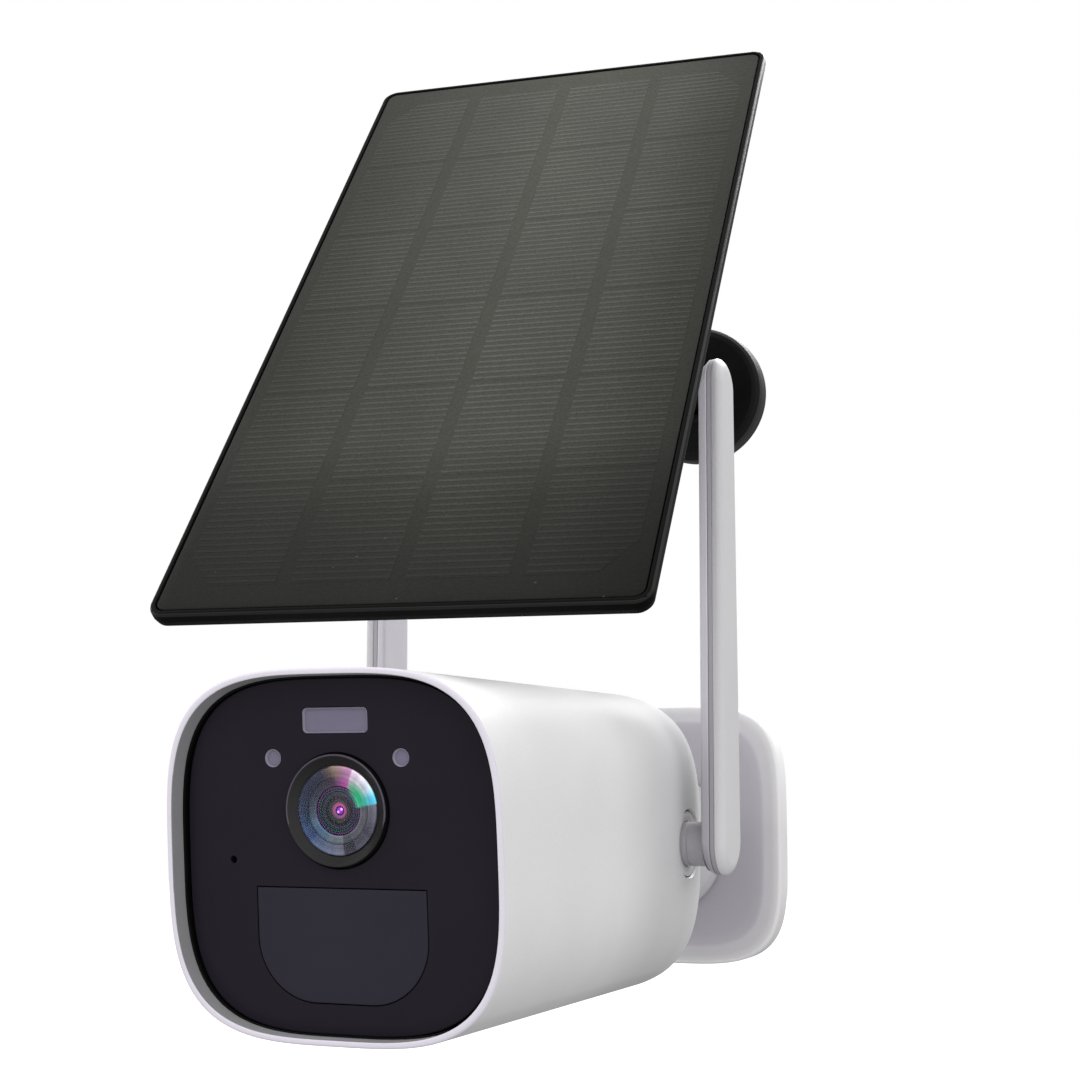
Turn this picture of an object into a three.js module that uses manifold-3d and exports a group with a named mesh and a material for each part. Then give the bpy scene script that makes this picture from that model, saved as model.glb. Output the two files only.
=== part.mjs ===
import * as THREE from 'three';
import { mergeVertices } from 'three/addons/utils/BufferGeometryUtils.js';
import Module from 'manifold-3d';

// Solar-powered security camera on its wall mount. Millimetres.
// +X to the right seen from the front, lens looks along -Y, wall plane at Y = 0, +Z up.

const GAP = 0.3;

// Camera body: a squircle tube with a rounded rear
const BODY_HALF_W = 38.5;
const BODY_HALF_H = 38;
const BODY_N = 3.43;
const BODY_FRONT = -210;
const BODY_REAR = -62;
const BODY_REAR_R = 28;
const WALL = 2.4;
const LIP_WIDTH = 1.3;
const LIP_LEAN = 0.1;

// Front panel and what it carries, measured inward from the lip plane
const RECESS = 4.3;
const PANEL_HALF = 35.4;
const PANEL_T = 2.2;
const LENS_Z = 9.15;
const LENS_RING_R = 11.5;
const LENS_GLASS_R = 9.1;
const LENS_RAISE = 1.2;
const LED_X = 14.8;
const LED_Z = 19.85;
const LED_R = 1.65;
const SPOT_Z = 27.5;
const SPOT_W = 14.6;
const SPOT_H = 4.8;
const PIR_HALF_W = 19.4;
const PIR_TOP = -6.7;
const PIR_BOTTOM = -29.8;
const PIR_CORNER = 13;
const MIC_X = -25;
const MIC_Z = -1.1;

// Antennas
const ANT_Y = -94.3;
const ANT_Z = -0.5;
const ANT_IN = 43.9;
const ANT_TOP = 122.3;
const ANT_R_LOW = 7.7;
const ANT_R_TOP = 6.3;
const HUB_R = 5.5;
const SEAT_R = 8;

// Camera wall plate and ball mount
const PLATE_HALF = 38;
const PLATE_N = 4.42;
const PLATE_Z = -0.6;
const PLATE_T = 9;
const MOUNT_Z = -3;
const BALL_Y = -26;
const BALL_R = 10;

// Solar panel pose and size
const SUN_W = 111.6;
const SUN_L = 210.5;
const SUN_T = 5.4;
const SUN_CENTRE = new THREE.Vector3(4.5, -139.7, 131.8);
const SUN_TILT = THREE.MathUtils.degToRad(39.2);
const SUN_YAW = THREE.MathUtils.degToRad(5.1);
const CUP_RISE = THREE.MathUtils.degToRad(52);
const SUN_BALL_BACK = 27;
const SUN_BALL_R = 9;
const DISC_X = 12.8;
const DISC_Z = 132.3;
const DISC_R = 20.8;

const wasm = await Module();
wasm.setup();

// ---------- geometry helpers ----------

// Welds vertices, drops collapsed triangles and turns the skin outward
function clean(source) {
  const bare = source.index ? source.toNonIndexed() : source.clone();
  for (const name of Object.keys(bare.attributes)) {
    if (name !== 'position') bare.deleteAttribute(name);
  }
  const welded = mergeVertices(bare, 1e-4);
  const idx = welded.index.array;
  const pos = welded.attributes.position.array;
  const keep = [];
  let volume = 0;
  const a = new THREE.Vector3();
  const b = new THREE.Vector3();
  const c = new THREE.Vector3();
  for (let i = 0; i < idx.length; i += 3) {
    const [p, q, r] = [idx[i], idx[i + 1], idx[i + 2]];
    if (p === q || q === r || r === p) continue;
    keep.push(p, q, r);
    a.fromArray(pos, p * 3);
    b.fromArray(pos, q * 3);
    c.fromArray(pos, r * 3);
    volume += a.dot(b.cross(c));
  }
  if (volume < 0) {
    for (let i = 0; i < keep.length; i += 3) {
      [keep[i + 1], keep[i + 2]] = [keep[i + 2], keep[i + 1]];
    }
  }
  const out = new THREE.BufferGeometry();
  out.setAttribute('position', new THREE.BufferAttribute(new Float32Array(pos), 3));
  out.setIndex(keep);
  return out;
}

function toManifold(geometry) {
  const solid = clean(geometry);
  const mesh = new wasm.Mesh({
    numProp: 3,
    vertProperties: new Float32Array(solid.attributes.position.array),
    triVerts: new Uint32Array(solid.index.array),
  });
  mesh.merge();
  return new wasm.Manifold(mesh);
}

function fromManifold(manifold) {
  const mesh = manifold.getMesh();
  const geometry = new THREE.BufferGeometry();
  geometry.setAttribute('position', new THREE.BufferAttribute(new Float32Array(mesh.vertProperties), 3));
  geometry.setIndex(Array.from(mesh.triVerts));
  return geometry;
}

function cut(base, ...tools) {
  let body = toManifold(base);
  for (const tool of tools) body = body.subtract(toManifold(tool));
  return fromManifold(body);
}

function join(base, ...others) {
  let body = toManifold(base);
  for (const other of others) body = body.add(toManifold(other));
  return fromManifold(body);
}

function keepInside(base, tool) {
  return fromManifold(toManifold(base).intersect(toManifold(tool)));
}

const at = (geometry, x, y, z) => geometry.translate(x, y, z);

const boxAt = (sx, sy, sz, x, y, z) => at(new THREE.BoxGeometry(sx, sy, sz), x, y, z);

function cylY(r, y0, y1, x = 0, z = 0, segments = 24) {
  const geometry = new THREE.CylinderGeometry(r, r, Math.abs(y1 - y0), segments);
  return at(geometry, x, (y0 + y1) / 2, z);
}

function cylX(r, x0, x1, y, z, segments = 24) {
  const geometry = new THREE.CylinderGeometry(r, r, Math.abs(x1 - x0), segments).rotateZ(Math.PI / 2);
  return at(geometry, (x0 + x1) / 2, y, z);
}

function cylZ(r, z0, z1, x, y, segments = 24) {
  const geometry = new THREE.CylinderGeometry(r, r, Math.abs(z1 - z0), segments).rotateX(Math.PI / 2);
  return at(geometry, x, y, (z0 + z1) / 2);
}

const ball = (r, x, y, z, w = 22, h = 14) => at(new THREE.SphereGeometry(r, w, h), x, y, z);

const profile = (pairs) => pairs.map(([r, y]) => new THREE.Vector2(r, y));

const lathe = (pairs, segments = 40) => new THREE.LatheGeometry(profile(pairs), segments);

// Quarter arc in a lathe profile, centre (r0, y0), from angle a0 to a1 in degrees
function arc(r0, y0, radius, a0, a1, steps) {
  const points = [];
  for (let i = 0; i <= steps; i += 1) {
    const t = THREE.MathUtils.degToRad(a0 + ((a1 - a0) * i) / steps);
    points.push([r0 + radius * Math.cos(t), y0 + radius * Math.sin(t)]);
  }
  return points;
}

// Lathe profile points on a round hollow of radius r centred at height c, from y0 to y1
function hollow(r, c, y0, y1, steps) {
  const points = [];
  for (let i = 0; i <= steps; i += 1) {
    const y = y0 + ((y1 - y0) * i) / steps;
    points.push([Math.sqrt(Math.max(0, r ** 2 - (y - c) ** 2)), y]);
  }
  return points;
}

// Ratio of a squircle's radius to its half width at a direction
function squircleRatio(c, s, n) {
  return (Math.abs(c) ** n + Math.abs(s) ** n) ** (-1 / n);
}

// Turned profile whose round section is swelled to a squircle
function squircleTurn(pairs, n, segments = 64) {
  const geometry = lathe(pairs, segments);
  const pos = geometry.attributes.position;
  for (let i = 0; i < pos.count; i += 1) {
    const x = pos.getX(i);
    const z = pos.getZ(i);
    const r = Math.hypot(x, z);
    if (r < 1e-6) continue;
    const k = squircleRatio(x / r, z / r, n);
    pos.setXYZ(i, x * k, pos.getY(i), z * k);
  }
  return geometry;
}

function squircleShape(halfW, halfH, n, segments = 48) {
  const points = [];
  for (let i = 0; i < segments; i += 1) {
    const t = (i / segments) * Math.PI * 2;
    const k = squircleRatio(Math.cos(t), Math.sin(t), n);
    points.push(new THREE.Vector2(halfW * k * Math.cos(t), halfH * k * Math.sin(t)));
  }
  return new THREE.Shape(points);
}

function roundedRect(w, h, r, x = 0, y = 0) {
  const shape = new THREE.Shape();
  const [l, b] = [x - w / 2, y - h / 2];
  shape.moveTo(l + r, b);
  shape.lineTo(l + w - r, b);
  shape.absarc(l + w - r, b + r, r, -Math.PI / 2, 0);
  shape.lineTo(l + w, b + h - r);
  shape.absarc(l + w - r, b + h - r, r, 0, Math.PI / 2);
  shape.lineTo(l + r, b + h);
  shape.absarc(l + r, b + h - r, r, Math.PI / 2, Math.PI);
  shape.lineTo(l, b + r);
  shape.absarc(l + r, b + r, r, Math.PI, Math.PI * 1.5);
  return shape;
}

// Sensor window: square top corners, deep round bottom corners
function sensorShape(grow) {
  const w = PIR_HALF_W + grow;
  const top = PIR_TOP + grow;
  const bottom = PIR_BOTTOM - grow;
  const r = PIR_CORNER + grow;
  const shape = new THREE.Shape();
  shape.moveTo(-w, top);
  shape.lineTo(-w, bottom + r);
  shape.absarc(-w + r, bottom + r, r, Math.PI, Math.PI * 1.5);
  shape.lineTo(w - r, bottom);
  shape.absarc(w - r, bottom + r, r, -Math.PI / 2, 0);
  shape.lineTo(w, top);
  return shape;
}

// Plate of an X-Z outline between two Y planes
function plate(shape, yFront, yBack, curveSegments = 8, bevel = 0) {
  const geometry = new THREE.ExtrudeGeometry(shape, {
    depth: yBack - yFront - bevel * 2,
    curveSegments,
    bevelEnabled: bevel > 0,
    bevelThickness: bevel,
    bevelSize: bevel,
    bevelOffset: -bevel,
    bevelSegments: 2,
  });
  return at(geometry.rotateX(Math.PI / 2), 0, yBack - bevel, 0);
}

const group = new THREE.Group();

function node(name, geometry, color, roughness = 0.5, metalness = 0) {
  const mesh = new THREE.Mesh(
    clean(geometry),
    new THREE.MeshStandardMaterial({ name: `${name}_mat`, color, roughness, metalness }),
  );
  mesh.geometry.computeVertexNormals();
  mesh.name = name;
  group.add(mesh);
}

// The front parts are drawn behind an upright lip plane, then leaned forward with it
const lean = new THREE.Matrix4().set(1, 0, 0, 0, 0, 1, -LIP_LEAN, BODY_FRONT, 0, 0, 1, 0, 0, 0, 0, 1);
const front = (geometry) => geometry.applyMatrix4(lean);

const WHITE = 0xe8e8ec;
const LAVENDER = 0xd6d3de;
const BLACK = 0x15151a;
const PCB = 0x1d4a33;
const STEEL = 0xb9bcc2;

// ---------- camera body ----------

// Leans the skin forward at the top, fully at the lip and not at all at the rear
function leanWithLip(geometry) {
  const pos = geometry.attributes.position;
  const rear = BODY_REAR - BODY_REAR_R;
  for (let i = 0; i < pos.count; i += 1) {
    const share = THREE.MathUtils.clamp((rear - pos.getY(i)) / (rear - BODY_FRONT), 0, 1);
    pos.setY(i, pos.getY(i) - LIP_LEAN * share * pos.getZ(i));
  }
  return geometry;
}

const H = BODY_HALF_H;
const skinEdge = BODY_REAR - BODY_REAR_R;
const bodyProfile = [
  [0, BODY_REAR],
  ...arc(H - BODY_REAR_R, skinEdge, BODY_REAR_R, 90, 0, 6),
  [H, -150],
  [H, BODY_FRONT + 0.6],
  [H - 0.5, BODY_FRONT],
  [H - LIP_WIDTH + 0.2, BODY_FRONT],
  [H - LIP_WIDTH, BODY_FRONT + 0.4],
  [H - LIP_WIDTH - 0.2, BODY_FRONT + 10],
  [H - 3.8, BODY_FRONT + 10.2],
  [H - 3.8, BODY_FRONT + 12.6],
  [H - WALL, BODY_FRONT + 12.8],
  ...arc(H - BODY_REAR_R, skinEdge, BODY_REAR_R - WALL, 0, 90, 5),
  [0, BODY_REAR - WALL],
];
const bodySkin = leanWithLip(squircleTurn(bodyProfile, BODY_N, 52));
bodySkin.scale(BODY_HALF_W / BODY_HALF_H, 1, 1);

const PORT_Y = -112;
const PORT_L = 26;
const PORT_W = 13;
const BUTTON_Y = -160;
const BUTTON_R = 4;
const GRILLE_Y = -180;
const bodyCuts = [
  cylX(SEAT_R + 0.4, -40, -36.6, ANT_Y, ANT_Z, 40),
  cylX(SEAT_R + 0.4, 36.6, 40, ANT_Y, ANT_Z, 40),
  cylX(HUB_R - 1, -40, -34, ANT_Y, ANT_Z, 24),
  cylX(HUB_R - 1, 34, 40, ANT_Y, ANT_Z, 24),
  boxAt(PORT_W, PORT_L, 8, 0, PORT_Y, -38),
  cylZ(BUTTON_R + GAP, -42, -34, 0, BUTTON_Y, 32),
  cylY(3.4, -70, -58, 0, MOUNT_Z, 24),
];
for (let i = -2; i <= 2; i += 1) bodyCuts.push(boxAt(14, 1.2, 8, 0, GRILLE_Y + i * 2.6, -38));
node('body_shell', cut(bodySkin, ...bodyCuts), WHITE, 0.42);

// Port bay under the body with its rubber flap
const bayOuter = boxAt(PORT_W + 3, PORT_L + 3, 8, 0, PORT_Y, -30.4);
const bayInner = boxAt(PORT_W, PORT_L, 7, 0, PORT_Y, -31.4);
const inletHole = boxAt(4, 9.6, 6, 0, PORT_Y - 6, -27);
const resetHole = cylZ(1.4 + GAP, -30, -25, 0, PORT_Y + 7, 20);
node('port_bay', cut(bayOuter, bayInner, inletHole, resetHole), 0x2a2a2e, 0.6);
const inletShell = boxAt(3.2, 8.8, 7, 0, PORT_Y - 6, -25);
node('charging_inlet', cut(inletShell, boxAt(2.4, 8, 6, 0, PORT_Y - 6, -26)), STEEL, 0.3, 0.9);
node('reset_button', cylZ(1.4, -28.6, -25.8, 0, PORT_Y + 7, 20), 0x3a3a40, 0.6);
const flapPlate = boxAt(PORT_W - 0.6, PORT_L - 0.6, 1.7, 0, PORT_Y, -37);
const flapLip = boxAt(PORT_W - 2.4, PORT_L - 5, 1.6, 0, PORT_Y - 0.6, -35.5);
const flapNotch = boxAt(5, 1.6, 1, 0, PORT_Y - PORT_L / 2 + 0.9, -37.9);
node('port_flap', cut(join(flapPlate, flapLip), flapNotch), 0xd9d9de, 0.75);

node('power_button', join(
  cylZ(BUTTON_R, -38.4, -35, 0, BUTTON_Y, 32),
  cylZ(1.5, -35, -31, 0, BUTTON_Y, 16),
), 0xc9c9d0, 0.6);
node('speaker', cylZ(9, -34.8, -30.6, 0, GRILLE_Y, 32), 0x3b3b40, 0.6);

// ---------- front panel ----------

const panelBlank = plate(squircleShape(PANEL_HALF + 0.4, PANEL_HALF, BODY_N), RECESS, RECESS + PANEL_T);
const panelHoles = [
  cylY(LENS_RING_R + GAP, 0, 12, 0, LENS_Z, 40),
  cylY(LED_R + 0.25, 0, 12, LED_X, LED_Z, 28),
  cylY(LED_R + 0.25, 0, 12, -LED_X, LED_Z, 28),
  cylY(0.75, 0, 12, MIC_X, MIC_Z, 20),
  plate(roundedRect(SPOT_W + 0.5, SPOT_H + 0.5, 1.1, 0, SPOT_Z), 0, 12, 5),
  plate(sensorShape(0.25), 0, 12, 12),
];
node('front_panel', front(cut(panelBlank, ...panelHoles)), BLACK, 0.22);

const sealOuter = plate(squircleShape(PANEL_HALF + 1.05, PANEL_HALF + 0.75, BODY_N), 5.3, 7.9);
const sealInner = plate(squircleShape(PANEL_HALF + 0.65, PANEL_HALF + 0.3, BODY_N), 5, 8.2);
node('front_seal', front(cut(sealOuter, sealInner)), 0x060607, 0.8);

node('spot_window', front(plate(roundedRect(SPOT_W, SPOT_H, 0.9, 0, SPOT_Z), 4.75, 6.4, 5)), 0x716c82, 0.35);
for (const [name, side] of [['left', -1], ['right', 1]]) {
  node(`ir_window_${name}`, front(cylY(LED_R, 4.75, 6.4, side * LED_X, LED_Z, 28)), 0x716c82, 0.35);
}
node('sensor_window', front(plate(sensorShape(-0.05), RECESS + 0.05, 6.4, 12)), 0x302e38, 0.45);

// Lens: bezel ring, barrel with baffles, two elements and the image chip
const ringFront = RECESS - LENS_RAISE;
const lensRing = lathe([
  [LENS_GLASS_R + 0.1, ringFront + 0.7],
  [LENS_RING_R - 0.7, ringFront],
  [LENS_RING_R - 0.2, ringFront + 0.15],
  [LENS_RING_R, ringFront + 0.5],
  [LENS_RING_R, 7.9],
  [LENS_GLASS_R + 0.1, 7.9],
  [LENS_GLASS_R + 0.1, ringFront + 0.7],
], 36);
node('lens_ring', front(at(lensRing, 0, 0, LENS_Z)), 0x2c2c2e, 0.4);

const glassRise = 1.5;
const glassEdge = ringFront + 1.2;
const capRadius = (LENS_GLASS_R ** 2 + glassRise ** 2) / (2 * glassRise);
const glassProfile = [];
for (let i = 0; i <= 5; i += 1) {
  const r = ((LENS_GLASS_R - 0.2) * i) / 5;
  glassProfile.push([r, glassEdge - (Math.sqrt(capRadius ** 2 - r ** 2) - (capRadius - glassRise))]);
}
glassProfile.push([LENS_GLASS_R - 0.2, glassEdge + 0.6], [6.5, glassEdge + 0.6], [0, glassEdge + 0.2]);
node('lens_glass', front(at(lathe(glassProfile, 32), 0, 0, LENS_Z)), 0x20242c, 0.05);

const barrel = lathe([
  [5.6, 5.3],
  [LENS_GLASS_R - 0.2, 5.3],
  [LENS_GLASS_R - 0.2, 14],
  [4.6, 14],
  [4.6, 8.6],
  [5.1, 8.6],
  [5.1, 6.6],
  [5.6, 6.6],
  [5.6, 5.3],
], 28);
node('lens_barrel', front(at(barrel, 0, 0, LENS_Z)), 0x1a1a1d, 0.5);
node('lens_inner', front(at(lathe([
  [0, 6.4],
  [2.4, 6.6],
  [4.3, 7.2],
  [4.3, 8.6],
  [0, 8.6],
], 32), 0, 0, LENS_Z)), 0x3b2a48, 0.08);
node('image_chip', front(join(
  boxAt(20, 1.2, 20, 0, 15.6, LENS_Z),
  boxAt(7, 1, 7, 0, 14.8, LENS_Z),
)), PCB, 0.6);

// Chassis behind the panel, with the lamps and the heat sensor in it
const chassis = plate(squircleShape(35.3, 34.9, BODY_N), 8.2, 9.8);
node('front_chassis', front(cut(
  chassis,
  cylY(LENS_RING_R - 1.5, 7, 12, 0, LENS_Z, 40),
  cylY(2.6, 7, 12, LED_X, LED_Z, 24),
  cylY(2.6, 7, 12, -LED_X, LED_Z, 24),
  cylY(1.2, 7, 12, MIC_X, MIC_Z, 16),
  boxAt(13, 6, 4.2, 0, 9, SPOT_Z),
  cylY(5.2, 7, 12, 0, -17, 32),
)), 0x26262a, 0.6);
node('lamp_board', front(join(
  boxAt(46, 1.2, 6, 0, 10.8, 25.4),
  boxAt(8, 1.2, 8, LED_X, 10.8, LED_Z + 0.5),
  boxAt(8, 1.2, 8, -LED_X, 10.8, LED_Z + 0.5),
  boxAt(3, 1.4, 3, LED_X, 9.7, LED_Z),
  boxAt(3, 1.4, 3, -LED_X, 9.7, LED_Z),
  boxAt(9, 1.2, 2.6, 0, 9.8, SPOT_Z),
)), 0xd8d8c8, 0.6);
node('heat_sensor', front(join(cylY(4.6, 8.4, 13.6, 0, -17, 32), cylY(5, 12.6, 13.6, 0, -17, 32))), STEEL, 0.35, 0.8);

// ---------- electronics and cells inside ----------

node('main_board', front(cut(
  plate(squircleShape(30, 29, BODY_N, 36), 19, 20.6),
  cylY(2, 18, 22, 24, 22, 16),
  cylY(2, 18, 22, -24, 22, 16),
)), PCB, 0.6);
for (const [name, side] of [['left', -1], ['right', 1]]) {
  node(`battery_cell_${name}`, cylY(9.1, -180, -116, side * 10, -4, 32), 0x2f6f9e, 0.45);
}
node('cell_cradle', cut(
  boxAt(42, 60, 10, 0, -148, -10.6),
  cylY(9.4, -182, -114, 10, -4, 32),
  cylY(9.4, -182, -114, -10, -4, 32),
), 0x303036, 0.6);

// ---------- antennas ----------

// Bar outline in Y-Z: full round at both ends, tapering upward
function barShape(inset) {
  const low = ANT_R_LOW - inset;
  const high = ANT_R_TOP - inset;
  const topCentre = ANT_TOP - ANT_R_TOP - ANT_Z;
  const slope = Math.asin((low - high) / topCentre);
  const shape = new THREE.Shape();
  shape.absarc(0, 0, low, Math.PI - slope, Math.PI * 2 + slope);
  shape.absarc(0, topCentre, high, slope, Math.PI - slope);
  shape.closePath();
  return shape;
}

// Bar layer between two X planes on the +X side, optionally domed on its outer face
function barLayer(inset, x0, x1, dome = 0) {
  const geometry = new THREE.ExtrudeGeometry(barShape(inset), {
    depth: x1 - x0 - dome,
    curveSegments: 10,
    bevelEnabled: dome > 0,
    bevelThickness: dome,
    bevelSize: dome,
    bevelOffset: -dome,
    bevelSegments: 4,
  });
  geometry.rotateX(Math.PI / 2).rotateZ(Math.PI / 2);
  return at(geometry, x0, ANT_Y, ANT_Z);
}

const mirrorX = (geometry, side) => (side > 0 ? geometry : geometry.scale(-1, 1, 1));
const LAYER_1 = ANT_IN + 2.1;
const LAYER_2 = LAYER_1 + GAP + 0.7;
const LAYER_3 = LAYER_2 + GAP;

// The bar's two ends are domed through its thickness
function domedEnds(geometry) {
  const half = 3.02;
  const middle = ANT_IN + 3;
  const foot = ANT_Z - 7.7;
  const shape = new THREE.Shape();
  shape.absellipse(middle, ANT_TOP - 4.5, half, 4.5, 0, Math.PI);
  shape.absellipse(middle, foot + 2.5, half, 2.5, Math.PI, Math.PI * 2);
  shape.closePath();
  const envelope = new THREE.ExtrudeGeometry(shape, { depth: 20, curveSegments: 8, bevelEnabled: false });
  envelope.rotateX(Math.PI / 2);
  return keepInside(geometry, at(envelope, 0, ANT_Y + 10, 0));
}
for (const [name, side] of [['left', -1], ['right', 1]]) {
  const seat = cut(
    cylX(SEAT_R, 36.9, 38.1, ANT_Y, ANT_Z, 40),
    cylX(HUB_R + GAP, 36, 39, ANT_Y, ANT_Z, 32),
  );
  node(`hub_seat_${name}`, mirrorX(seat, side), LAVENDER, 0.5);
  const hub = join(
    domedEnds(barLayer(0, ANT_IN, LAYER_1)),
    cylX(HUB_R, 37.1, ANT_IN + 0.5, ANT_Y, ANT_Z, 32),
    cylX(HUB_R - 1.4, 33, 38, ANT_Y, ANT_Z, 24),
  );
  node(`antenna_inner_${name}`, mirrorX(hub, side), LAVENDER, 0.5);
  node(`antenna_trim_${name}`, mirrorX(domedEnds(barLayer(0.35, LAYER_1 + GAP, LAYER_2)), side), 0xc4c1cc, 0.5);
  const slab = new THREE.ExtrudeGeometry(barShape(0), {
    depth: 0.5,
    curveSegments: 10,
    bevelEnabled: true,
    bevelThickness: 1.9,
    bevelSize: 1.9,
    bevelOffset: -1.9,
    bevelSegments: 3,
  });
  slab.rotateX(Math.PI / 2).rotateZ(Math.PI / 2);
  at(slab, LAYER_3 + 0.2, ANT_Y, ANT_Z);
  const outer = domedEnds(keepInside(slab, boxAt(10, 40, 300, LAYER_3 + 5, ANT_Y, 60)));
  node(`antenna_outer_${name}`, mirrorX(outer, side), WHITE, 0.45);
}

// ---------- camera mount ----------

const bracket = squircleTurn([
  [0, 0],
  [34.6, 0],
  [34.6, -2.4],
  [0, -2.4],
], PLATE_N, 32);
const SCREW = 24;
const corners = [[1, 1], [-1, 1], [-1, -1], [1, -1]];
const bracketCuts = corners.map(([sx, sz]) => cylY(2.3, -4, 1, sx * SCREW, sz * SCREW, 20));
node('wall_bracket', at(join(cut(bracket, ...bracketCuts), cylY(11, -6.2, -2, 0, 0, 32)), 0, 0, PLATE_Z), STEEL, 0.4, 0.8);

corners.forEach(([sx, sz], i) => {
  const head = lathe([[0, -4.9], [1.8, -4.9], [3.2, -4.2], [3.8, -2.7], [2, -2.7], [2, -0.2], [0, -0.2]], 20);
  node(`wall_screw_${i + 1}`, at(head, sx * SCREW, 0, sz * SCREW + PLATE_Z), STEEL, 0.35, 0.9);
});

const P = PLATE_HALF;
const coverProfile = [
  [0, -PLATE_T + 0.35],
  [P - 5, -PLATE_T + 0.35],
  [P - 3.6, -PLATE_T + 0.55],
  [P - 1, -PLATE_T + 1.1],
  [P - 0.3, -PLATE_T + 1.5],
  [P, -PLATE_T + 2.2],
  [P, -0.3],
  [P - 2.2, -0.3],
  [P - 2.2, -PLATE_T + 3.6],
  [P - 3.4, -PLATE_T + 2.5],
  [0, -PLATE_T + 2.5],
];
node('wall_cover', at(squircleTurn(coverProfile, PLATE_N, 40), 0, 0, PLATE_Z), LAVENDER, 0.5);

const SEAT = BALL_R + 0.4;
const bellFoot = -PLATE_T + 0.05;
const bell = lathe([
  [0, bellFoot],
  [21.5, bellFoot],
  [21.6, bellFoot - 2.6],
  [20.8, bellFoot - 5],
  [18.6, bellFoot - 8.4],
  [16.2, bellFoot - 11.6],
  [15.2, -24.5],
  ...hollow(SEAT, BALL_Y, -24.5, BALL_Y + SEAT, 6),
], 32);
node('ball_socket', at(bell, 0, 0, MOUNT_Z), LAVENDER, 0.5);

const ringInside = hollow(SEAT, BALL_Y, -24.8, -31.4, 3);
const ringBlank = lathe([
  ...ringInside,
  [14.6, -31.4],
  [15.8, -29.6],
  [15.8, -25.6],
  [15.2, -24.8],
  ringInside[0],
], 36);
const grips = [];
for (let i = 0; i < 14; i += 1) {
  const t = (i / 14) * Math.PI * 2;
  grips.push(cylY(0.9, -33, -24, 16.2 * Math.cos(t), MOUNT_Z + 16.2 * Math.sin(t), 6));
}
node('lock_ring', cut(at(ringBlank, 0, 0, MOUNT_Z), ...grips), 0xb8b4c2, 0.55);
node('mount_ball', ball(BALL_R, 0, BALL_Y, MOUNT_Z), STEEL, 0.3, 0.9);

const stemTop = BALL_Y - Math.sqrt(SEAT ** 2 - 5.2 ** 2);
const stem = lathe([
  ...hollow(SEAT, BALL_Y, BALL_Y - SEAT, stemTop, 3),
  [5.2, -50],
  [7.4, -56],
  [13.5, -57.6],
  [14, -58.4],
  [14, -61.6],
  [3, -61.6],
  [3, -72],
  [0, -72],
], 28);
node('mount_stem', at(stem, 0, 0, MOUNT_Z), LAVENDER, 0.5);
node('rear_insert', at(lathe([
  [3.3, -64.8],
  [6.5, -64.8],
  [6.5, -74],
  [3.3, -74],
  [3.3, -64.8],
], 28), 0, 0, MOUNT_Z), 0xb08d4a, 0.35, 0.9);

// ---------- solar panel ----------

// Panel space: X across, Y up the slope, Z out of the glass; the origin is the glass centre
const across = new THREE.Vector3(Math.cos(SUN_YAW), Math.sin(SUN_YAW), 0);
const ahead = new THREE.Vector3(Math.sin(SUN_YAW), -Math.cos(SUN_YAW), 0);
const upright = new THREE.Vector3(0, 0, 1);
const outward = ahead.clone().multiplyScalar(Math.cos(SUN_TILT)).addScaledVector(upright, Math.sin(SUN_TILT));
const upslope = outward.clone().cross(across);
const panelFrame = new THREE.Matrix4().makeBasis(across, upslope, outward).setPosition(SUN_CENTRE);
const sun = (geometry) => geometry.applyMatrix4(panelFrame);

function slab(w, h, r, z0, z1, bevelT = 0, bevelS = 0, x = 0, y = 0) {
  const geometry = new THREE.ExtrudeGeometry(roundedRect(w, h, r, x, y), {
    depth: z1 - z0 - bevelT * 2,
    curveSegments: 4,
    bevelEnabled: bevelT > 0,
    bevelThickness: bevelT,
    bevelSize: bevelS,
    bevelOffset: -bevelS,
    bevelSegments: 2,
  });
  return at(geometry, 0, 0, z0 + bevelT);
}

// Rounded rectangle carried through a profile of (inset, z) pairs
function loft(w, h, r, profile) {
  const positions = [];
  const index = [];
  let count = 0;
  profile.forEach(([inset, z], level) => {
    const ring = roundedRect(w - inset * 2, h - inset * 2, Math.max(r - inset, 0.1)).getPoints(5);
    if (ring[0].distanceTo(ring[ring.length - 1]) < 1e-6) ring.pop();
    count = ring.length;
    for (const point of ring) positions.push(point.x, point.y, z);
    if (level === 0) return;
    for (let k = 0; k < count; k += 1) {
      const low = (level - 1) * count;
      const next = (k + 1) % count;
      index.push(low + k, low + next, low + count + next, low + k, low + count + next, low + count + k);
    }
  });
  const last = (profile.length - 1) * count;
  for (let k = 1; k < count - 1; k += 1) {
    index.push(0, k + 1, k, last, last + k, last + k + 1);
  }
  const geometry = new THREE.BufferGeometry();
  geometry.setAttribute('position', new THREE.Float32BufferAttribute(positions, 3));
  geometry.setIndex(index);
  geometry.computeVertexNormals();
  return geometry;
}

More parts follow.
